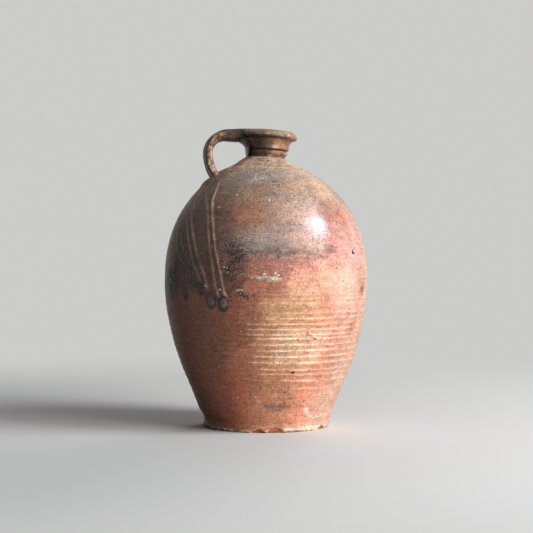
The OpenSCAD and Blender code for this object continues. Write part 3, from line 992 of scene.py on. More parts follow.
def paint_bloom(lay, s):
    """The ash bloom of the shoulder, cream by the neck, with rows of ochre specks at its right."""
    lay(ASH, 0.85 * s.bloom, rough=0.44, speckle=0.8)
    lay((146, 112, 92), 0.55 * s.bloom * fall(283, 292, s.zz), uu=(-26, 0, 8))
    lay((184, 154, 132), 0.85 * s.bloom * smooth(6, 34, s.uu) * fall(110, 150, s.uu), ochre=0.35)
    lay((114, 100, 90), 0.6 * s.bloom * fall(-40, -22, s.uu))
    lay((146, 134, 128), 0.8 * bell(s.zz - 292, 7), uu=(-40, 10, 10))
    lay((184, 160, 134), 0.8 * smooth(298, 306, s.z + 3 * s.thin), speckle=0.5)
    lay((128, 104, 80), 0.6 * smooth(299, 305, s.z) * smooth(0.05, 0.35, s.thin))
    lay((196, 164, 112), 0.5 * smooth(0, 0.4, -s.thin), z=(303, 309, 3))
    lay((122, 104, 92), 0.3 * s.bloom * smooth(0.1, 0.45, s.thin))
    lay((206, 188, 160), 0.3 * s.bloom * smooth(0.15, 0.5, -s.thin))
    for height, half_h in OCHRE_ROWS:
        row = bell(s.z - height, half_h) * smooth(-0.35, 0.25, s.thin)
        lay((206, 158, 104), 0.35 * row, u=(14, 54, 8), ochre=0.9)
    lay((196, 134, 96), 0.5 * bell(s.z - 255, 8) * smooth(0.0, 0.4, s.streak), u=(12, 60, 10))


def paint_grey_patch(lay, s):
    """A grey patch of the shoulder, with soot gathered at its left."""
    pushed_z = s.z + 5 * s.streak + 3 * s.fine
    patch = np.exp(-spot(s.theta, pushed_z, -107, 214, 32, 17)) * smooth(196, 206, s.zz)
    lay((150, 138, 128), patch, rough=0.4)
    lay((110, 102, 98), 0.4 * patch * smooth(0.0, 0.4, s.thin))
    lay((112, 84, 74), 0.5 * bell(s.zz - 204, 6), uu=(-16, 2, 5))
    cluster = np.exp(-spot(s.theta, s.z + 2 * s.fine, -116.5, 202.0, 17.0, 13.0))
    cluster = np.maximum(cluster, 0.8 * glow(s, -120, 186.0, 12.0, 14.0))
    lay((88, 78, 74), 0.62 * cluster, soot=0.9, grain=0.9)
    lay((78, 58, 52), 0.7 * glow(s, -121.5, 214, 12, 8), soot=0.5)


def paint_smudges(lay, s):
    """Smoky smudges over the belly and low down."""
    lay(SMOKE, 0.8 * bell(s.zz - 205, 4.5) * smooth(-0.5, 0.1, s.thin), uu=(4, 38, 4), soot=0.45)
    lay(SMOKE, 0.7 * bell(s.z - 212, 8) * smooth(-0.1, 0.5, s.thin), uu=(-2, 12, 4), soot=0.4)
    lay(SMOKE, 0.5 * bell(s.zz - 211, 2.5) * smooth(-0.1, 0.3, s.thin), uu=(6, 36, 6))
    lay((138, 108, 96), 0.7 * glow(s, -87, 49, 15, 12) * smooth(-0.6, 0.3, s.thin))
    lay((92, 78, 80), 0.85 * bell(s.z - 31.5, 2.4) * smooth(-0.4, 0.1, s.fine), u=(0, 19, 3))
    lay((120, 96, 92), 0.6 * bell(s.z - 31.5, 1.6), u=(23, 29, 2))
    lay((112, 86, 78), 0.7 * glow(s, -91, 27.5, 8, 2.4))
    lay(SMOKE, 0.4 * bell(s.z - 103, 7) * smooth(0.1, 0.5, s.streak), u=(-35, 0, 12))


def paint_crust(lay, s):
    """A dark crust at the left edge, black spots, and specks of brown on the belly."""
    crust = np.max([amount * glow(s, *place) for amount, *place in CRUSTS], axis=0)
    broken = smooth(0.25, 0.6, crust + 0.55 * s.fine + 0.3 * s.grit - 0.1)
    lay((46, 37, 36), 0.85 * broken, rough=0.27, soot=0.7, grain=0.9)
    lay((70, 54, 52), 0.4 * crust, soot=0.6)
    for place in BLACK_SPOTS:
        away = spot(s.theta, s.z, *place) + 0.9 * s.fine + 0.5 * s.grit
        lay(BLACK, 0.9 * fall(0.5, 1.4, away), rough=0.28, grain=0.8)
    lay((84, 50, 42), 0.7 * smooth(0.1, 0.4, s.fine + s.grit * 0.5), u=(-24, -6, 4), zz=(150, 166, 5))
    lay(RED, 0.35 * smooth(0.25, 0.6, s.grit + 0.5 * s.fine), u=(-12, 40, 8), z=(128, 200, 12))


def paint_runs(lay, s):
    """Runs with pale beaded edges, a dark bed between a pair, and thin trails from the handle's root."""
    edges, near = 0.0, 0.0
    for _, half_w, strength, path in RUNS.values():
        side, inside = run_distance(s.theta, s.z, path)
        edges = np.maximum(edges, strength * inside * bell(side, half_w * 0.85))
        near = np.maximum(near, strength * inside * bell(side, half_w * 3.0))
    lay((78, 52, 42), 0.7 * near, rough=0.3)
    lay((90, 64, 50), 0.8 * run_bed(s.theta, s.z), rough=0.3)
    lines = edges * (0.80 + 0.4 * s.fine + 0.5 * noise(s.p / 2.4, 271))
    lay((194, 164, 140), lines * (1 - 0.25 * smooth(-30, -16, s.u)), rough=0.38, speckle=1.0)
    lay((226, 200, 176), lines * smooth(-28, -60, s.u), rough=0.38, speckle=1.0)
    for high, low in TRAILS:
        way = list(zip((high, (high + low) / 2, low), TRAIL_Z))
        trail = stroke(s, s.z + 1.2 * s.fine, way, TRAIL_HALF_W)
        lay((200, 172, 146), trail * smooth(228, 268, s.z) * (0.65 + 0.4 * s.grit))


def paint_drops(lay, s):
    """Drops of glaze: two large with a dark rim, one brown, and one that is only a pale ring."""
    for place, _ in BIG_DROPS:
        away = spot(s.theta, s.z, *place)
        lay((44, 32, 28), fall(1.1, 2.0, away), rough=0.25)
        lay((112, 98, 94), 0.85 * fall(0.3, 0.85, away + 0.5 * s.grit), rough=0.22, grain=0.7)
    away = spot(s.theta, s.z, *BROWN_DROP[0])
    lay((50, 32, 28), fall(0.8, 1.3, away + 0.8 * s.fine), rough=0.25)
    lay((112, 58, 44), 0.6 * fall(0.2, 0.6, away), rough=0.25)
    ring = np.sqrt(spot(s.theta, s.z, *RING_DROP[0]))
    lay((150, 138, 124), 0.9 * bell(ring - 0.9, 0.22))


def paint_marks(lay, s):
    """The scar, the stains and the scratches."""
    scar, over = scar_share(s.theta, s.z)
    lay((178, 160, 138), smooth(0.28, 0.5, scar + 0.3 * s.fine + 0.2 * s.grit), rough=0.7)
    lay((92, 70, 60), 0.6 * smooth(0.3, 0.6, scar) * bell(over - 2.0, 0.9) * smooth(-0.2, 0.2, s.fine))
    for *place, colour, amount in STAINS:
        lay(colour, amount * glow(s, *place) * (0.75 + 0.9 * s.fine + 0.6 * s.grit))
    for points, half_w, colour, amount in LINES:
        lay(colour, amount * stroke(s, s.z, points, half_w))


def paint_crests(lay, s):
    """Crests of the finger rings, pale, with a painted highlight on them and painted shade, brown, in the
    valleys between them, both where the rings face the light.
    """
    share = crest_share(s.row_z)
    crest = (1 - share) ** 3.4
    valley = smooth(0.35, 0.9, share)
    lit = smooth(-14, -8, s.u + 4 * s.fine) * fall(118, 150, s.u) * band(s.z, 54, 158, 4)
    lit = lit * (0.35 + 0.65 * fall(134, 144, s.z))
    uneven = smooth(-0.6, 0.45, fbm(s.p, 30.0, 231, 2) + 0.7 * s.fine + 0.3 * s.grit)
    # painted shade: brown in the valleys on the lit side
    lay((168, 116, 84), valley * lit * fall(52, 66, s.u) * (0.3 + 0.35 * smooth(-0.2, 0.4, s.fine)))
    lay((138, 104, 76), 0.5 * valley * smooth(-0.1, 0.4, s.streak + s.fine), u=(-4, 24, 6), z=(98, 140, 8))
    # painted highlight on the crests on the lit side
    lay((244, 212, 184), 0.78 * crest * lit * uneven, rough=0.42)
    lay((190, 150, 120), 0.25 * crest * smooth(-0.1, 0.5, s.fine), z=(160, 262, 10))
    lay((184, 134, 102), 0.22 * crest * (1 - lit) * smooth(-0.2, 0.5, s.fine), z=(24, 160, 10))


def paint_foot(lay, s):
    """A worn pale band, a patchy darker edge along the foot's bottom, and chips down to raw clay."""
    rag = fbm(s.p, 7.0, 241, 3)
    pale = 2.4 + 2.2 * rag + 2.6 * smooth(-4, 16, s.u) * fall(60, 90, s.u) + 0.8 * s.grit
    lay((222, 204, 180), 0.9 * fall(pale, pale + 0.8, s.z) * smooth(-0.5, -0.1, rag), rough=0.8)
    # darker along the foot's bottom edge, in patches
    bottom_dark = fall(0.6, 1.6, s.z - 1.2 * rag) * smooth(-0.1, 0.25, fbm(s.p, 5.0, 251, 2))
    lay((96, 80, 70), 0.8 * bottom_dark, rough=0.8)
    bite = chip_bite(s.theta, s.z)
    lay((232, 214, 188), 0.95 * smooth(0.02, 0.25, bite), rough=0.8)
    lay(RAW_CLAY, smooth(0.45, 1.1, bite), rough=0.9, grain=0.8)


def paint_body():
    """All the body's coats from the clay up, then its last tints. The inside is bare clay."""
    s = body_fields()
    coat = Paint(ORANGE, BODY_FINISH, s)
    for step in (paint_sides, paint_belly, paint_dark_glaze, paint_bloom, paint_grey_patch, paint_smudges,
                 paint_crust, paint_runs, paint_drops, paint_marks, paint_crests, paint_foot):
        step(coat.lay, s)
    hidden = (s.row_z == HIDDEN_Z).astype(float)
    coat.lay(INSIDE_CLAY, hidden, rough=0.7, speckle=0.3, soot=0, ochre=0)
    coat.shade(1 + 0.10 * s.fine + 0.13 * s.thin + 0.07 * s.grit)
    coat.finish["grain"] += 0.3 * s.bloom
    least_soot = 0.12 * (1 - hidden) * fall(10, 60, s.u)
    coat.finish["soot"] = np.maximum(coat.finish["soot"], least_soot)
    coat.finish["dull"] = smooth(-36, -62, s.u) * (1 - hidden)
    for factors, across, up in TINTS:
        coat.tint(factors, u=across, z=up)
    # colour toned down round the right side, where the lamps light it most, to offset that light
    coat.tint((0.66, 0.65, 0.65), far=(88, 140, 34))
    coat.lay(None, 1.3 * glow(s, *WET_SPOT), rough=0.105, grain=0.05)
    coat.write(body)


# Colours of the neck: t is the height over the shoulder

def neck_fields():
    s = noise_fields(neck_verts, NECK_NOISE)
    s.t, s.r = neck_t, neck_r
    s.u = turn(neck_theta, PHOTO_MIDDLE)
    s.uu = s.u + 12 * s.drift + 8 * s.fine
    s.outside = s.r > NECK_ROOT_R - 1.0
    s.bead = band(s.t, 2.4, 8.6, 0.6) * s.outside
    s.lip = smooth(24.6, 26.0, s.t) * smooth(22, 27, s.r)
    s.shadow = fall(-20, 10, s.uu) * smooth(-180, -168, s.u)
    return s


def paint_neck_tones(lay, s):
    """Tan to the right and dark brown to the left, with painted highlight on the collar and the neck at the
    right.
    """
    lay((150, 108, 80), smooth(4, 30, s.uu) * fall(120, 160, s.uu))
    # painted highlight on the collar, and above it a paler band of painted highlight on the neck
    lay((206, 170, 136), 0.85 * bell(s.u - 22, 10), t=(9.8, 13.5, 1.0), rough=0.24)
    lay((184, 142, 108), 0.6 * bell(s.u - 26, 12), t=(12, 22, 4))
    lay((128, 84, 62), 0.7 * smooth(40, 60, s.uu) * fall(110, 140, s.uu))
    lay((84, 64, 52), 0.6 * fall(10, 34, s.uu), t=(16, 25, 3))
    lay((92, 68, 52), 0.5 * smooth(0.0, 0.45, s.streak))
    lay((160, 122, 92), 0.3 * smooth(0.1, 0.4, s.fine))


def paint_bead(lay, s):
    """The beaded root, red-brown and shiny, with a painted highlight along its right and painted shadow in
    the crease under the collar.
    """
    lay((120, 80, 60), s.bead, rough=0.2)
    lay((160, 112, 84), 0.6 * s.bead * smooth(-0.1, 0.4, s.streak + s.fine), rough=0.2)
    lay((86, 52, 42), 0.6 * s.bead * smooth(0.1, 0.4, -s.fine))
    # painted highlight along the bead's right side
    lay((154, 108, 84), 0.5 * s.bead * bell(s.t - 6.4, 1.3) * smooth(0, 18, s.u), rough=0.14)
    lay((112, 78, 58), 0.9 * s.outside, t=(-4, 1.9, 0.8))
    lay((190, 142, 106), 0.7 * s.outside * smooth(-0.1, 0.3, s.fine), t=(-4, 2.2, 0.8))
    # painted shadow in the crease under the collar's overhang
    lay((56, 38, 31), 0.85 * s.outside * (s.r < NECK_R + 0.2), t=(8.6, 10.2, 0.4))


def paint_lip(lay, s):
    """The lip: a pale bevel over a dark line of painted shade under it."""
    lay((134, 112, 90), 0.9 * s.lip, rough=0.42, speckle=0.6)
    lay((196, 178, 152), 0.75 * s.lip * smooth(-0.4, 0.2, s.streak + 0.5 * s.fine), t=(25.6, 27.4, 0.5))
    lay((190, 158, 118), 0.7 * s.lip * bell(s.t - 29.4, 0.7) * smooth(-0.4, 0.2, s.fine))
    lay((92, 74, 62), 0.6 * s.lip * smooth(-0.3, 0.2, s.fine), t=(27.8, 28.8, 0.3))
    # painted shade under the flared lip, left out at the right front where the light falls
    dark_line = smooth(29, 32, s.r) * (1 - smooth(36, 60, s.u) * (np.abs(s.u) < 90))
    lay((54, 40, 33), 0.85 * dark_line, t=(22.0, 24.6, 0.5))
    lay((138, 92, 68), 0.8 * smooth(46, 62, s.uu) * fall(100, 130, s.uu), t=(22, 28, 1))


def paint_neck_shadow(lay, s):
    """Near black by the handle, with brown breaking through."""
    lay(SHADE, 0.95 * s.shadow * (1 - 0.4 * s.lip), rough=0.3)
    lay((104, 76, 56), 0.55 * s.shadow * smooth(0.25, 0.5, s.fine))
    lay((84, 52, 40), 0.3 * s.shadow * s.bead * smooth(-0.3, 0.3, s.fine))
    lay((150, 120, 88), 0.5 * s.shadow * s.lip * smooth(-0.3, 0.3, s.streak))
    lay((80, 64, 56), 0.7 * s.lip * smooth(-0.05, 0.25, s.fine), u=(-24, 24, 8), t=(25.4, 27.6, 0.5))
    lay((72, 54, 44), 0.5 * smooth(-0.3, 0.3, s.streak), u=(-20, 10, 8), t=(9.8, 13, 1))
    lay((84, 64, 50), 0.4 * smooth(120, 170, np.abs(s.u)))


def paint_neck():
    s = neck_fields()
    coat = Paint((120, 88, 68), NECK_FINISH, s)
    for step in (paint_neck_tones, paint_bead, paint_lip, paint_neck_shadow):
        step(coat.lay, s)
    throat = (s.r < NECK_ROOT_R - 1) & (s.t < 25)
    coat.lay((112, 80, 62), throat.astype(float), rough=0.6)
    coat.shade(1 + 0.25 * s.fine + 0.2 * s.streak + 0.15 * s.grit)
    coat.finish["grain"] += 0.3
    coat.write(neck)


# Colours of the handle: s runs along the strap, side across it and out through it

def handle_fields():
    f = noise_fields(handle_verts, HANDLE_NOISE)
    f.s, f.side, f.out = handle_s, handle_side, handle_out
    f.edge = np.abs(f.side)
    f.rugged = f.fine + 0.4 * f.drift
    f.flank = smooth(0.80, 0.93, f.edge) * band(f.out, -0.85, 0.35, 0.2)
    return f


def paint_strap_sides(lay, f):
    """Pale and rugged along the sides, with painted highlight along the ridges of the outer face, and
    painted shade in its groove and under the strap.
    """
    lay((158, 126, 92), f.flank * smooth(-0.6, 0.1, f.rugged) * (1 - 0.3 * band(f.s, 0.1, 0.42, 0.06)),
        rough=0.5, speckle=0.9)
    lay((194, 170, 142), 0.7 * f.flank * smooth(0.05, 0.3, f.rugged) * smooth(0.3, 0.46, f.s), rough=0.55)
    lay((174, 148, 122), 0.75 * f.flank * smooth(0.36, 0.5, f.s) * smooth(-0.5, 0.0, f.rugged),
        out=(-0.75, 0.2, 0.2), rough=0.5)
    lay((104, 70, 46), 0.8 * f.flank * smooth(0.12, 0.32, -f.fine))
    lay((72, 50, 38), 0.6 * f.flank * smooth(0.25, 0.5, f.grit))
    # painted highlight along the ridges of the outer face
    ridge = bell(f.edge - 0.78, 0.10) * smooth(0.5, 0.8, f.out)
    lay((150, 120, 88), 0.75 * ridge * smooth(-0.2, 0.2, f.rugged), rough=0.5)
    # painted shade in the groove of the outer face, and on the strap's inner face underneath
    lay((44, 33, 28), 0.6 * bell(f.edge - 0.55, 0.12) * smooth(0.2, 0.6, f.out))
    lay((52, 38, 31), 0.8 * fall(-0.95, -0.6, f.out))
    lay((120, 76, 54), 0.7 * f.flank * fall(-0.35, 0.1, f.out), s=(0.16, 0.5, 0.08))


def paint_strap_root(lay, f):
    """Painted shade, near black, by the neck, with a crack under the bend, and brown clay at the low end."""
    root = fall(0.32, 0.50, f.s + 0.12 * f.fine)
    # painted shade by the neck
    lay(SHADE, 0.93 * root, rough=0.3, speckle=0.1)
    lay((150, 122, 88), 0.75 * root * smooth(0.5, 0.9, f.out) * smooth(-0.3, 0.2, f.fine))
    lay((112, 80, 58), 0.45 * fall(0.2, 0.46, f.s) * smooth(0.15, 0.4, f.fine + f.drift * 0.5))
    lay((170, 136, 104), 0.7 * smooth(-0.1, 0.1, f.fine), s=(0.26, 0.44, 0.04), out=(0.0, 0.6, 0.15),
        rough=0.5)
    crack = bell(f.out - 0.35 - 0.3 * np.sin(f.s * 60), 0.16) * (f.side < 0)
    lay((38, 28, 24), 0.85 * crack, s=(0.18, 0.34, 0.03), rough=0.3)
    lay((134, 108, 86), 0.6 * smooth(0.86, 0.98, f.s), rough=0.5)
    lay((112, 74, 52), 0.25 * smooth(0.1, 0.5, f.drift))


def paint_handle():
    f = handle_fields()
    coat = Paint((104, 76, 58), HANDLE_FINISH, f)
    # dark brown over the strap's outer face: partly its own colour, partly painted shade on a face turned
    # from the light
    coat.lay((66, 48, 40), 0.85 * smooth(-0.1, 0.45, f.out))
    paint_strap_sides(coat.lay, f)
    paint_strap_root(coat.lay, f)
    # painted shade: darker still towards the neck
    coat.tint((0.56, 0.52, 0.50), fall(0.24, 0.5, f.s))
    coat.shade(1 + 0.3 * f.fine + 0.25 * f.grit)
    coat.finish["grain"] += 0.4
    coat.write(handle)


paint_body()
paint_neck()
paint_handle()


# Material

class Graph:
    """Small helpers that add nodes to a material and return their output sockets."""

    def __init__(self, name):
        self.mat = bpy.data.materials.new(name)
        self.mat.use_nodes = True
        self.tree = self.mat.node_tree
        self.bsdf = self.tree.nodes["Principled BSDF"]

    def feed(self, socket, value):
        if isinstance(value, bpy.types.NodeSocket):
            self.tree.links.new(value, socket)
        else:
            socket.default_value = value

    def node(self, kind, *values, settings=None, **named):
        """A node with its first inputs in order and others by name."""
        node = self.tree.nodes.new(kind)
        for key, value in (settings or {}).items():
            setattr(node, key, value)
        for key, value in [*enumerate(values), *named.items()]:
            self.feed(node.inputs[key], value)
        return node

    def maths(self, kind, a, b, clamp=False):
        return self.node("ShaderNodeMath", a, b, settings={"operation": kind, "use_clamp": clamp}).outputs[0]

    def times(self, a, b):
        return self.maths("MULTIPLY", a, b)

    def plus(self, a, b):
        return self.maths("ADD", a, b)

    def minus(self, a, b):
        return self.maths("SUBTRACT", a, b)

    def noise(self, where, scale, detail, rough):
        named = {"Vector": where, "Scale": scale, "Detail": detail, "Roughness": rough}
        return self.node("ShaderNodeTexNoise", **named).outputs[0]

    def squat(self, where, share):
        """Places for noise that is stretched round the jug."""
        return self.node("ShaderNodeMapping", Vector=where, Scale=(1.0, 1.0, share)).outputs[0]

    def spread(self, *limits):
        """A value taken from its low and high end smoothly to 0 and 1, or to two ends that follow them."""
        settings = {"interpolation_type": "SMOOTHSTEP"}
        return self.node("ShaderNodeMapRange", *limits, settings=settings).outputs[0]

    def carried(self, name):
        return self.node("ShaderNodeAttribute", settings={"attribute_name": name}).outputs[0]

    def channels(self, colour):
        return self.node("ShaderNodeSeparateColor", colour).outputs[:3]

    def mix(self, factor, a, b, blend="MIX"):
        node = self.node("ShaderNodeMix", settings={"data_type": "RGBA", "blend_type": blend}, Factor=factor)
        self.feed(node.inputs[6], a)
        self.feed(node.inputs[7], b)
        return node.outputs[2]


def opaque(colour):
    return (*[float(c) for c in colour], 1.0)


# Cells of the noises to a metre
MOTTLE = 95.0
FINGER_LINES = 110.0
LONG_LINES = 62.0
SPECKLE = 470.0
WARM = 260.0
PITS = 340.0
DOTS = 560.0
IRON_SPECKS = 430.0
GOLD_SPECKS = 360.0
PINHOLES = 120.0
SHINE = 180.0
SKIN = 330.0
PEEL = 800.0

BUMP_DEPTH = 0.0027
GLAZE_IOR = 1.45


def mottled(g, where, lines, speck, speckle):
    """The mesh's tone with broad mottling, thin lines left by the fingers, and fine speckle."""
    mottle = g.noise(where, MOTTLE, 4.0, 0.6)
    long_lines = g.noise(g.squat(where, 9.0), LONG_LINES, 4.0, 0.62)
    amount = g.plus(g.times(speckle, 0.7), 0.22)
    value = g.plus(g.spread(mottle, 0.3, 0.7, -0.14, 0.14), g.spread(lines, 0.3, 0.7, -0.13, 0.12))
    value = g.plus(value, g.spread(long_lines, 0.34, 0.66, -0.08, 0.07))
    value = g.plus(g.plus(value, g.times(g.spread(speck, 0.32, 0.68, -0.44, 0.40), amount)), 1.0)
    grey = g.node("ShaderNodeCombineColor", value, value, value).outputs[0]
    return g.mix(1.0, g.carried("tone"), grey, "MULTIPLY")


def flecked(g, where, colour, speckle):
    """Warm flecks, dark pits and pale dots, more of them where the mesh says speckle."""
    warm = g.spread(g.noise(where, WARM, 3.0, 0.6), 0.5, 0.75)
    colour = g.mix(g.times(warm, g.times(speckle, 0.4)), colour, opaque(seen((178, 108, 72))))
    pits = g.noise(where, PITS, 3.0, 0.55)
    deep = g.spread(pits, g.minus(0.65, g.times(speckle, 0.08)), 0.68, 0.0, 0.72)
    colour = g.mix(deep, colour, g.mix(1.0, colour, opaque((0.32, 0.25, 0.24)), "MULTIPLY"))
    pale = g.times(g.spread(g.noise(where, DOTS, 2.0, 0.5), 0.65, 0.69), g.times(speckle, 0.42))
    return g.mix(pale, colour, opaque(seen((236, 212, 184))))


def specked(g, where, colour, mark, scale, rare, often, soft, amount, speck_colour):
    """Specks that crowd where the mesh carries a mark."""
    low = g.minus(rare, g.times(mark, often))
    share = g.spread(g.noise(where, scale, 2.0, 0.55), low, g.plus(low, soft), 0.0, amount)
    return g.mix(share, colour, opaque(seen(speck_colour)))


def pinholes(g, where):
    """Pinholes burst through the glaze, in a few of the cells."""
    cells = g.node("ShaderNodeTexVoronoi", Vector=where, Scale=PINHOLES)
    chosen = g.channels(cells.outputs["Color"])[0]
    return g.times(g.spread(cells.outputs["Distance"], 0.13, 0.07), g.spread(chosen, 0.82, 0.86))


def fine_relief(g, where, lines, hole, grain):
    """Relief finer than the mesh."""
    skin = g.times(g.noise(where, SKIN, 4.0, 0.6), 0.6)
    peel = g.times(g.noise(where, PEEL, 2.0, 0.6), 0.25)
    height = g.minus(g.plus(g.plus(skin, peel), g.times(lines, 0.5)), g.times(hole, 0.8))
    strength = g.plus(grain, 0.05)
    return g.node("ShaderNodeBump", Strength=strength, Distance=BUMP_DEPTH, Height=height).outputs[0]


def uneven_shine(g, where, speck, rough):
    uneven = g.spread(g.noise(where, SHINE, 4.0, 0.65), 0.3, 0.7, -0.05, 0.10)
    uneven = g.plus(uneven, g.spread(speck, 0.35, 0.7, -0.04, 0.08))
    return g.maths("MULTIPLY", rough, g.plus(g.times(uneven, 2.6), 1.0), clamp=True)


def stoneware():
    """Glazed clay, with its colour and finish from the mesh and what is finer from noise."""
    g = Graph("stoneware")
    where = g.node("ShaderNodeTexCoord").outputs["Object"]
    rough, speckle, grain = g.channels(g.carried("skin"))
    soot, ochre, dull = g.channels(g.carried("marks"))
    lines = g.noise(g.squat(where, 6.0), FINGER_LINES, 4.0, 0.65)
    speck = g.noise(where, SPECKLE, 2.0, 0.65)
    hole = pinholes(g, where)
    colour = mottled(g, where, lines, speck, speckle)
    colour = flecked(g, where, colour, speckle)
    colour = specked(g, where, colour, soot, IRON_SPECKS, 0.73, 0.25, 0.05, 0.9, (44, 34, 33))
    colour = specked(g, where, colour, ochre, GOLD_SPECKS, 0.80, 0.26, 0.06, 0.75, (206, 134, 74))
    colour = g.mix(g.times(hole, 0.85), colour, opaque(seen((52, 36, 32))))
    finish = {"Base Color": colour, "Roughness": uneven_shine(g, where, speck, rough), "IOR": GLAZE_IOR,
              "Specular IOR Level": g.minus(0.5, g.times(dull, 0.4)),
              "Normal": fine_relief(g, where, lines, hole, grain)}
    for name, value in finish.items():
        g.feed(g.bsdf.inputs[name], value)
    return g.mat


def plain_grit(name, colour, rough):
    g = Graph(name)
    g.feed(g.bsdf.inputs["Base Color"], opaque(seen(colour)))
    g.feed(g.bsdf.inputs["Roughness"], rough)
    return g.mat


clay = stoneware()
for piece in (body, neck, handle):
    part_of_jug(piece, clay)


# Specks that stand in the glaze: black iron and pale quartz, and among the dark ones two painted shadows
# under the scar's flakes

# The larger ones: angle, height, half width, half height
IRON_AND_SHADOW_SPECKS = [(-124.3, 264.6, 1.1, 0.9), (-103.7, 252.2, 1.0, 0.9), (-120.6, 204.6, 0.9, 0.8),
        (-142.2, 224.7, 0.9, 0.8), (-116.3, 144.7, 1.0, 0.8), (-115, 139.3, 0.9, 0.8),
        (-161.4, 101.6, 0.9, 1.2), (-139.2, 101.7, 1.0, 0.9), (-124.9, 106.2, 0.8, 0.7),
        (-115.7, 102.1, 1.1, 0.9), (-125.7, 89.4, 0.9, 0.8), (-128.3, 83.1, 0.8, 0.7),
        (-132.1, 77.1, 1.0, 0.8), (-151.3, 77, 0.9, 0.9), (-137.1, 52.4, 0.9, 0.8),
        (-118.1, 57.6, 0.8, 0.8), (-109.3, 54.7, 0.9, 0.7), (-147.5, 24, 0.8, 0.8),
        (-142.6, 13.8, 0.9, 0.8), (-125.5, 20.9, 0.8, 0.7), (-82.3, 70.9, 2.3, 1.7),
        (-42.5, 205.6, 3.0, 1.6), (-42.5, 207.8, 1.4, 1.8), (-39.8, 211.2, 0.9, 0.9),
        (-58.7, 188.5, 1.2, 1.1), (-95.6, 312.6, 2.4, 1.0), (-92.6, 286.6, 3.6, 0.9),
        (-122.9, 214.3, 1.7, 1.5), (-70.3, 109, 1.4, 1.2), (-76.0, 113.8, 1.0, 0.8),
        # the speck at (-97.0, 181.0) here and the one at (-92.6, 179.4) below are painted shadows under the
        # scar's flakes
        (-97.0, 181.0, 1.6, 0.6), (-113.5, 158.5, 1.6, 0.8), (-112.0, 160.0, 1.2, 0.7),
        (-92.6, 179.4, 1.8, 0.6), (-141.0, 196.0, 1.2, 1.6), (-82.0, 40.5, 1.2, 0.9),
        (-94.0, 248.0, 0.8, 0.8)]

QUARTZ = [(-134.3, 168.5, 1.9, 1.0), (-125.2, 164.9, 2.1, 1.1), (-123.0, 189.6, 1.7, 0.8),
          (-121.4, 188.9, 1.1, 0.6), (-121.0, 184.4, 1.4, 0.5), (-122.1, 270.9, 1.7, 0.9),
          (-133.2, 257.1, 1.0, 0.8), (-98, 264.8, 1.2, 1.6), (-121.3, 41.3, 0.9, 0.8),
          (-108.8, 42.7, 0.9, 0.9), (-106, 37.5, 0.9, 0.9), (-101.0, 182.4, 2.4, 0.9),
          (-101.4, 181.4, 1.8, 0.9), (-95.2, 182.9, 1.6, 1.3), (-93.6, 180.6, 1.9, 0.9),
          (-131.5, 77.4, 0.8, 0.8), (-104.0, 177.8, 3.2, 1.0), (-96.5, 176.6, 2.6, 0.6),
          (-112.8, 164.3, 1.0, 0.6), (-128.0, 233.0, 0.8, 0.7), (-124.1, 214.9, 0.5, 0.5),
          (-122.0, 215.6, 0.5, 0.4), (-121.7, 213.4, 0.5, 0.5), (-123.6, 212.7, 0.5, 0.4)]

# Loose ones: how many, seed, largest
IRON_LOOSE = (420, 3, 1.1)
QUARTZ_LOOSE = (170, 4, 0.9)

# Crowds: how many, seed, angle, height, spread in degrees, spread in millimetres, largest
IRON_CROWDS = [(230, 31, -116.3, 203.0, 3.2, 8.0, 0.85), (80, 32, -119.5, 184.0, 3.0, 7.0, 0.95),
               (30, 33, -121.5, 213.0, 3.0, 5.0, 0.9), (36, 34, -112.0, 160.0, 3.4, 4.0, 1.0),
               (40, 35, -141.0, 168.0, 5.0, 5.0, 1.1), (34, 36, -164.0, 168.0, 6.0, 9.0, 1.2),
               (40, 37, -104.0, 205.0, 7.0, 4.0, 0.8)]
QUARTZ_CROWDS = [(34, 41, -124.0, 214.0, 13.0, 26.0, 0.55)]

GRIT_SIDES = 8
GRIT_LEVELS = (-0.75, 0.0, 0.75)
GRIT_WOBBLE = 0.22
GRIT_LOW_Z = 14
GRIT_HIGH_Z = 300
SMALLEST = 0.3
SMALLEST_IN_CROWD = 0.35
PROUD_SHARE = 0.3


def scattered(count, seed, largest):
    """Random places all round, as (angle, height, half width, half height, proud)."""
    rng = np.random.default_rng(seed)
    size = SMALLEST + (largest - SMALLEST) * rng.random(count) ** 3
    return [(rng.uniform(-180, 180), rng.uniform(GRIT_LOW_Z, GRIT_HIGH_Z), a, a * rng.uniform(0.6, 1.0),
             PROUD_SHARE * a) for a in size]


def gathered(count, seed, angle, height, spread_w, spread_h, largest):
    """Random places crowded round a middle, as (angle, height, half width, half height, proud)."""
    rng = np.random.default_rng(seed)
    size = SMALLEST_IN_CROWD + (largest - SMALLEST_IN_CROWD) * rng.random(count) ** 2
    angles = rng.normal(angle, spread_w, count)
    heights = rng.normal(height, spread_h, count)
    return [(a, h, r * rng.uniform(1.0, 1.5), r, PROUD_SHARE * r) for a, h, r in zip(angles, heights, size)]


def grit_frames(spots):
    """The middle of each speck on the face, and the ways along, up and out of the face there."""
    step = 0.6
    theta = np.radians(spots[:, 0])
    row_z = spots[:, 1] + sway(theta, spots[:, 1])
    middle = body_point(theta, row_z)
    beside = body_point(theta + step / outline_r(row_z), row_z)
    over = body_point(theta, row_z + step)
    along, up = ((q - middle) / np.linalg.norm(q - middle, axis=1, keepdims=True) for q in (beside, over))
    return zip(middle, along, up, np.cross(along, up))


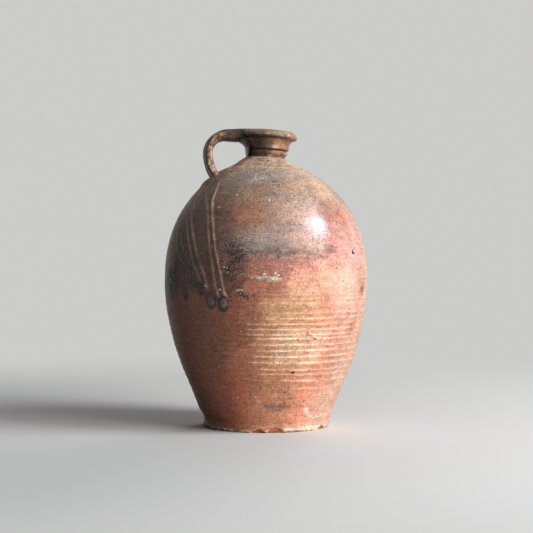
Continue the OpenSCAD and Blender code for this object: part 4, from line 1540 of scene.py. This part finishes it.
def grit_piece(name, places, material, seed):
    """Low domes, each (angle, height, half width, half height, proud) and sunk in the face."""
    rng = np.random.default_rng(seed)
    spots = np.array(places, dtype=float)
    ways = np.arange(GRIT_SIDES) / GRIT_SIDES * TAU
    verts = []
    faces = []
    for (half_w, half_h, proud), (middle, along, up, out) in zip(spots[:, 2:], grit_frames(spots)):
        base = len(verts)
        wobble = 1 + GRIT_WOBBLE * rng.uniform(-1, 1, GRIT_SIDES)
        for level in GRIT_LEVELS:
            for a, w in zip(ways, math.sqrt(1 - level ** 2) * wobble):
                beside = along * half_w * w * math.cos(a) + up * half_h * w * math.sin(a)
                verts.append(middle + METRES * (beside + out * proud * level))
        bottom = len(verts)
        verts += [middle - METRES * out * proud, middle + METRES * out * proud]
        faces += tube_faces(base, len(GRIT_LEVELS), GRIT_SIDES)
        faces += fan_faces(base, bottom, GRIT_SIDES, flip=True)
        faces += fan_faces(bottom - GRIT_SIDES, bottom + 1, GRIT_SIDES)
    part_of_jug(make_mesh(name, verts, faces), material)


def all_specks(large, proud_share, loose, crowds):
    specks = [(*place, proud_share * min(place[2:])) for place in large] + scattered(*loose)
    for crowd in crowds:
        specks += gathered(*crowd)
    return specks


iron_and_shadow_specks = all_specks(IRON_AND_SHADOW_SPECKS, 0.35, IRON_LOOSE, IRON_CROWDS)
quartz = all_specks(QUARTZ, 0.4, QUARTZ_LOOSE, QUARTZ_CROWDS)
grit_piece("grit_dark", iron_and_shadow_specks, plain_grit("iron_and_shadow_speck", (44, 36, 36), rough=0.35), seed=5)
grit_piece("grit_pale", quartz, plain_grit("quartz_speck", (214, 200, 178), rough=0.55), seed=6)


# Camera, worked out from the photo

FOCAL_PX = 1380.0
IMAGE_PX = 533.0
SENSOR_W = 36.0
CAMERA_AWAY = 1.643
CAMERA_UP = 0.211
HORIZON_PX = 248.0
AXIS_PX = 265.95

scene = bpy.context.scene


def photo_camera():
    azimuth = math.radians(PHOTO_AZIMUTH)
    dip = math.atan((IMAGE_PX / 2 - HORIZON_PX) / FOCAL_PX)
    swing = math.atan((IMAGE_PX / 2 - AXIS_PX) / FOCAL_PX)
    data = bpy.data.cameras.new("camera")
    data.sensor_width = SENSOR_W
    data.lens = SENSOR_W * FOCAL_PX / IMAGE_PX
    camera = bpy.data.objects.new("camera", data)
    camera.location = (math.sin(azimuth) * CAMERA_AWAY, -math.cos(azimuth) * CAMERA_AWAY, CAMERA_UP)
    camera.rotation_euler = (math.pi / 2 - dip, 0, azimuth - swing)
    scene.collection.objects.link(camera)
    return camera


scene.camera = photo_camera()


# Floor: a pale sheet that fades, far from the jug, into the tone of the background

FLOOR_HALF = 30.0
FLOOR_COLOUR = (0.62, 0.61, 0.585)
FLOOR_ROUGH = 0.8
FLOOR_SHINE = 0.15
BOUNCE = 0.62
FADE = (0.4, 1.1)
BACKGROUND = (0.60, 0.60, 0.59)


def is_looked_at(tree):
    """One for rays from the camera, also by way of a mirror or glass, and zero for those that light."""
    paths = tree.nodes.new("ShaderNodeLightPath")
    value = paths.outputs["Is Camera Ray"]
    for name in ("Is Glossy Ray", "Is Transmission Ray"):
        either = tree.nodes.new("ShaderNodeMath")
        either.operation = "MAXIMUM"
        tree.links.new(value, either.inputs[0])
        tree.links.new(paths.outputs[name], either.inputs[1])
        value = either.outputs[0]
    return value


def floor_material():
    """Paler to the camera than to the light it throws back."""
    g = Graph("floor")
    looked_at = is_looked_at(g.tree)
    thrown_back = opaque(np.array(FLOOR_COLOUR) * BOUNCE)
    g.feed(g.bsdf.inputs["Base Color"], g.mix(looked_at, thrown_back, opaque(FLOOR_COLOUR)))
    g.feed(g.bsdf.inputs["Roughness"], FLOOR_ROUGH)
    g.feed(g.bsdf.inputs["Specular IOR Level"], FLOOR_SHINE)
    place = g.node("ShaderNodeNewGeometry").outputs["Position"]
    away = g.node("ShaderNodeVectorMath", place, settings={"operation": "LENGTH"}).outputs["Value"]
    faded = g.times(g.spread(away, *FADE), looked_at)
    glow_far = g.node("ShaderNodeEmission", Color=opaque(BACKGROUND)).outputs[0]
    end = g.node("ShaderNodeMixShader", faded, g.bsdf.outputs[0], glow_far).outputs[0]
    g.feed(g.tree.nodes["Material Output"].inputs[0], end)
    return g.mat


corners = [(x * FLOOR_HALF, y * FLOOR_HALF, 0) for x, y in ((-1, -1), (1, -1), (1, 1), (-1, 1))]
floor = make_mesh("floor", corners, [(0, 1, 2, 3)])
floor.data.materials.append(floor_material())


# Light

LIT_MIDDLE = (0, 0, 0.19)
SKY_COLOUR = (0.92, 0.96, 1.0)
SKY_STRENGTH = 0.09

# Lamps: the way to them, how far off, width and height, watts, colour, and whether the glaze mirrors them
LAMPS = {
    "window": ((0.698, -0.397, 0.597), 2.4, (0.94, 0.90), 46.0, (0.84, 0.91, 1.0), True),
    "softbox": ((0.63, -0.66, 0.20), 2.6, (1.5, 1.5), 91.0, (1.0, 0.98, 0.97), False),
    "behind": ((0.50, 0.85, 0.30), 2.6, (1.2, 1.2), 34.0, (1.0, 0.98, 0.96), False),
}


def area_light(name, toward, away, size, power, colour, mirrored):
    data = bpy.data.lights.new(name, "AREA")
    data.shape = "RECTANGLE"
    data.size, data.size_y = size
    data.energy = power
    data.color = colour
    lamp = bpy.data.objects.new(name, data)
    way = Vector(toward).normalized()
    lamp.location = Vector(LIT_MIDDLE) + way * away
    lamp.rotation_euler = way.to_track_quat("Z", "Y").to_euler()
    lamp.visible_camera = False
    lamp.visible_glossy = mirrored
    scene.collection.objects.link(lamp)


def sky():
    """A weak cool sky that lights the jug, behind a pale background that is only looked at."""
    world = bpy.data.worlds.new("world")
    world.use_nodes = True
    tree = world.node_tree
    weak = tree.nodes["Background"]
    weak.inputs["Color"].default_value = opaque(SKY_COLOUR)
    weak.inputs["Strength"].default_value = SKY_STRENGTH
    pale = tree.nodes.new("ShaderNodeBackground")
    pale.inputs["Color"].default_value = opaque(BACKGROUND)
    either = tree.nodes.new("ShaderNodeMixShader")
    for socket, source in enumerate((is_looked_at(tree), weak.outputs[0], pale.outputs[0])):
        tree.links.new(source, either.inputs[socket])
    tree.links.new(either.outputs[0], tree.nodes["World Output"].inputs[0])
    return world


for lamp_name, lamp_values in LAMPS.items():
    area_light(lamp_name, *lamp_values)
scene.world = sky()
scene.view_settings.view_transform = "Standard"
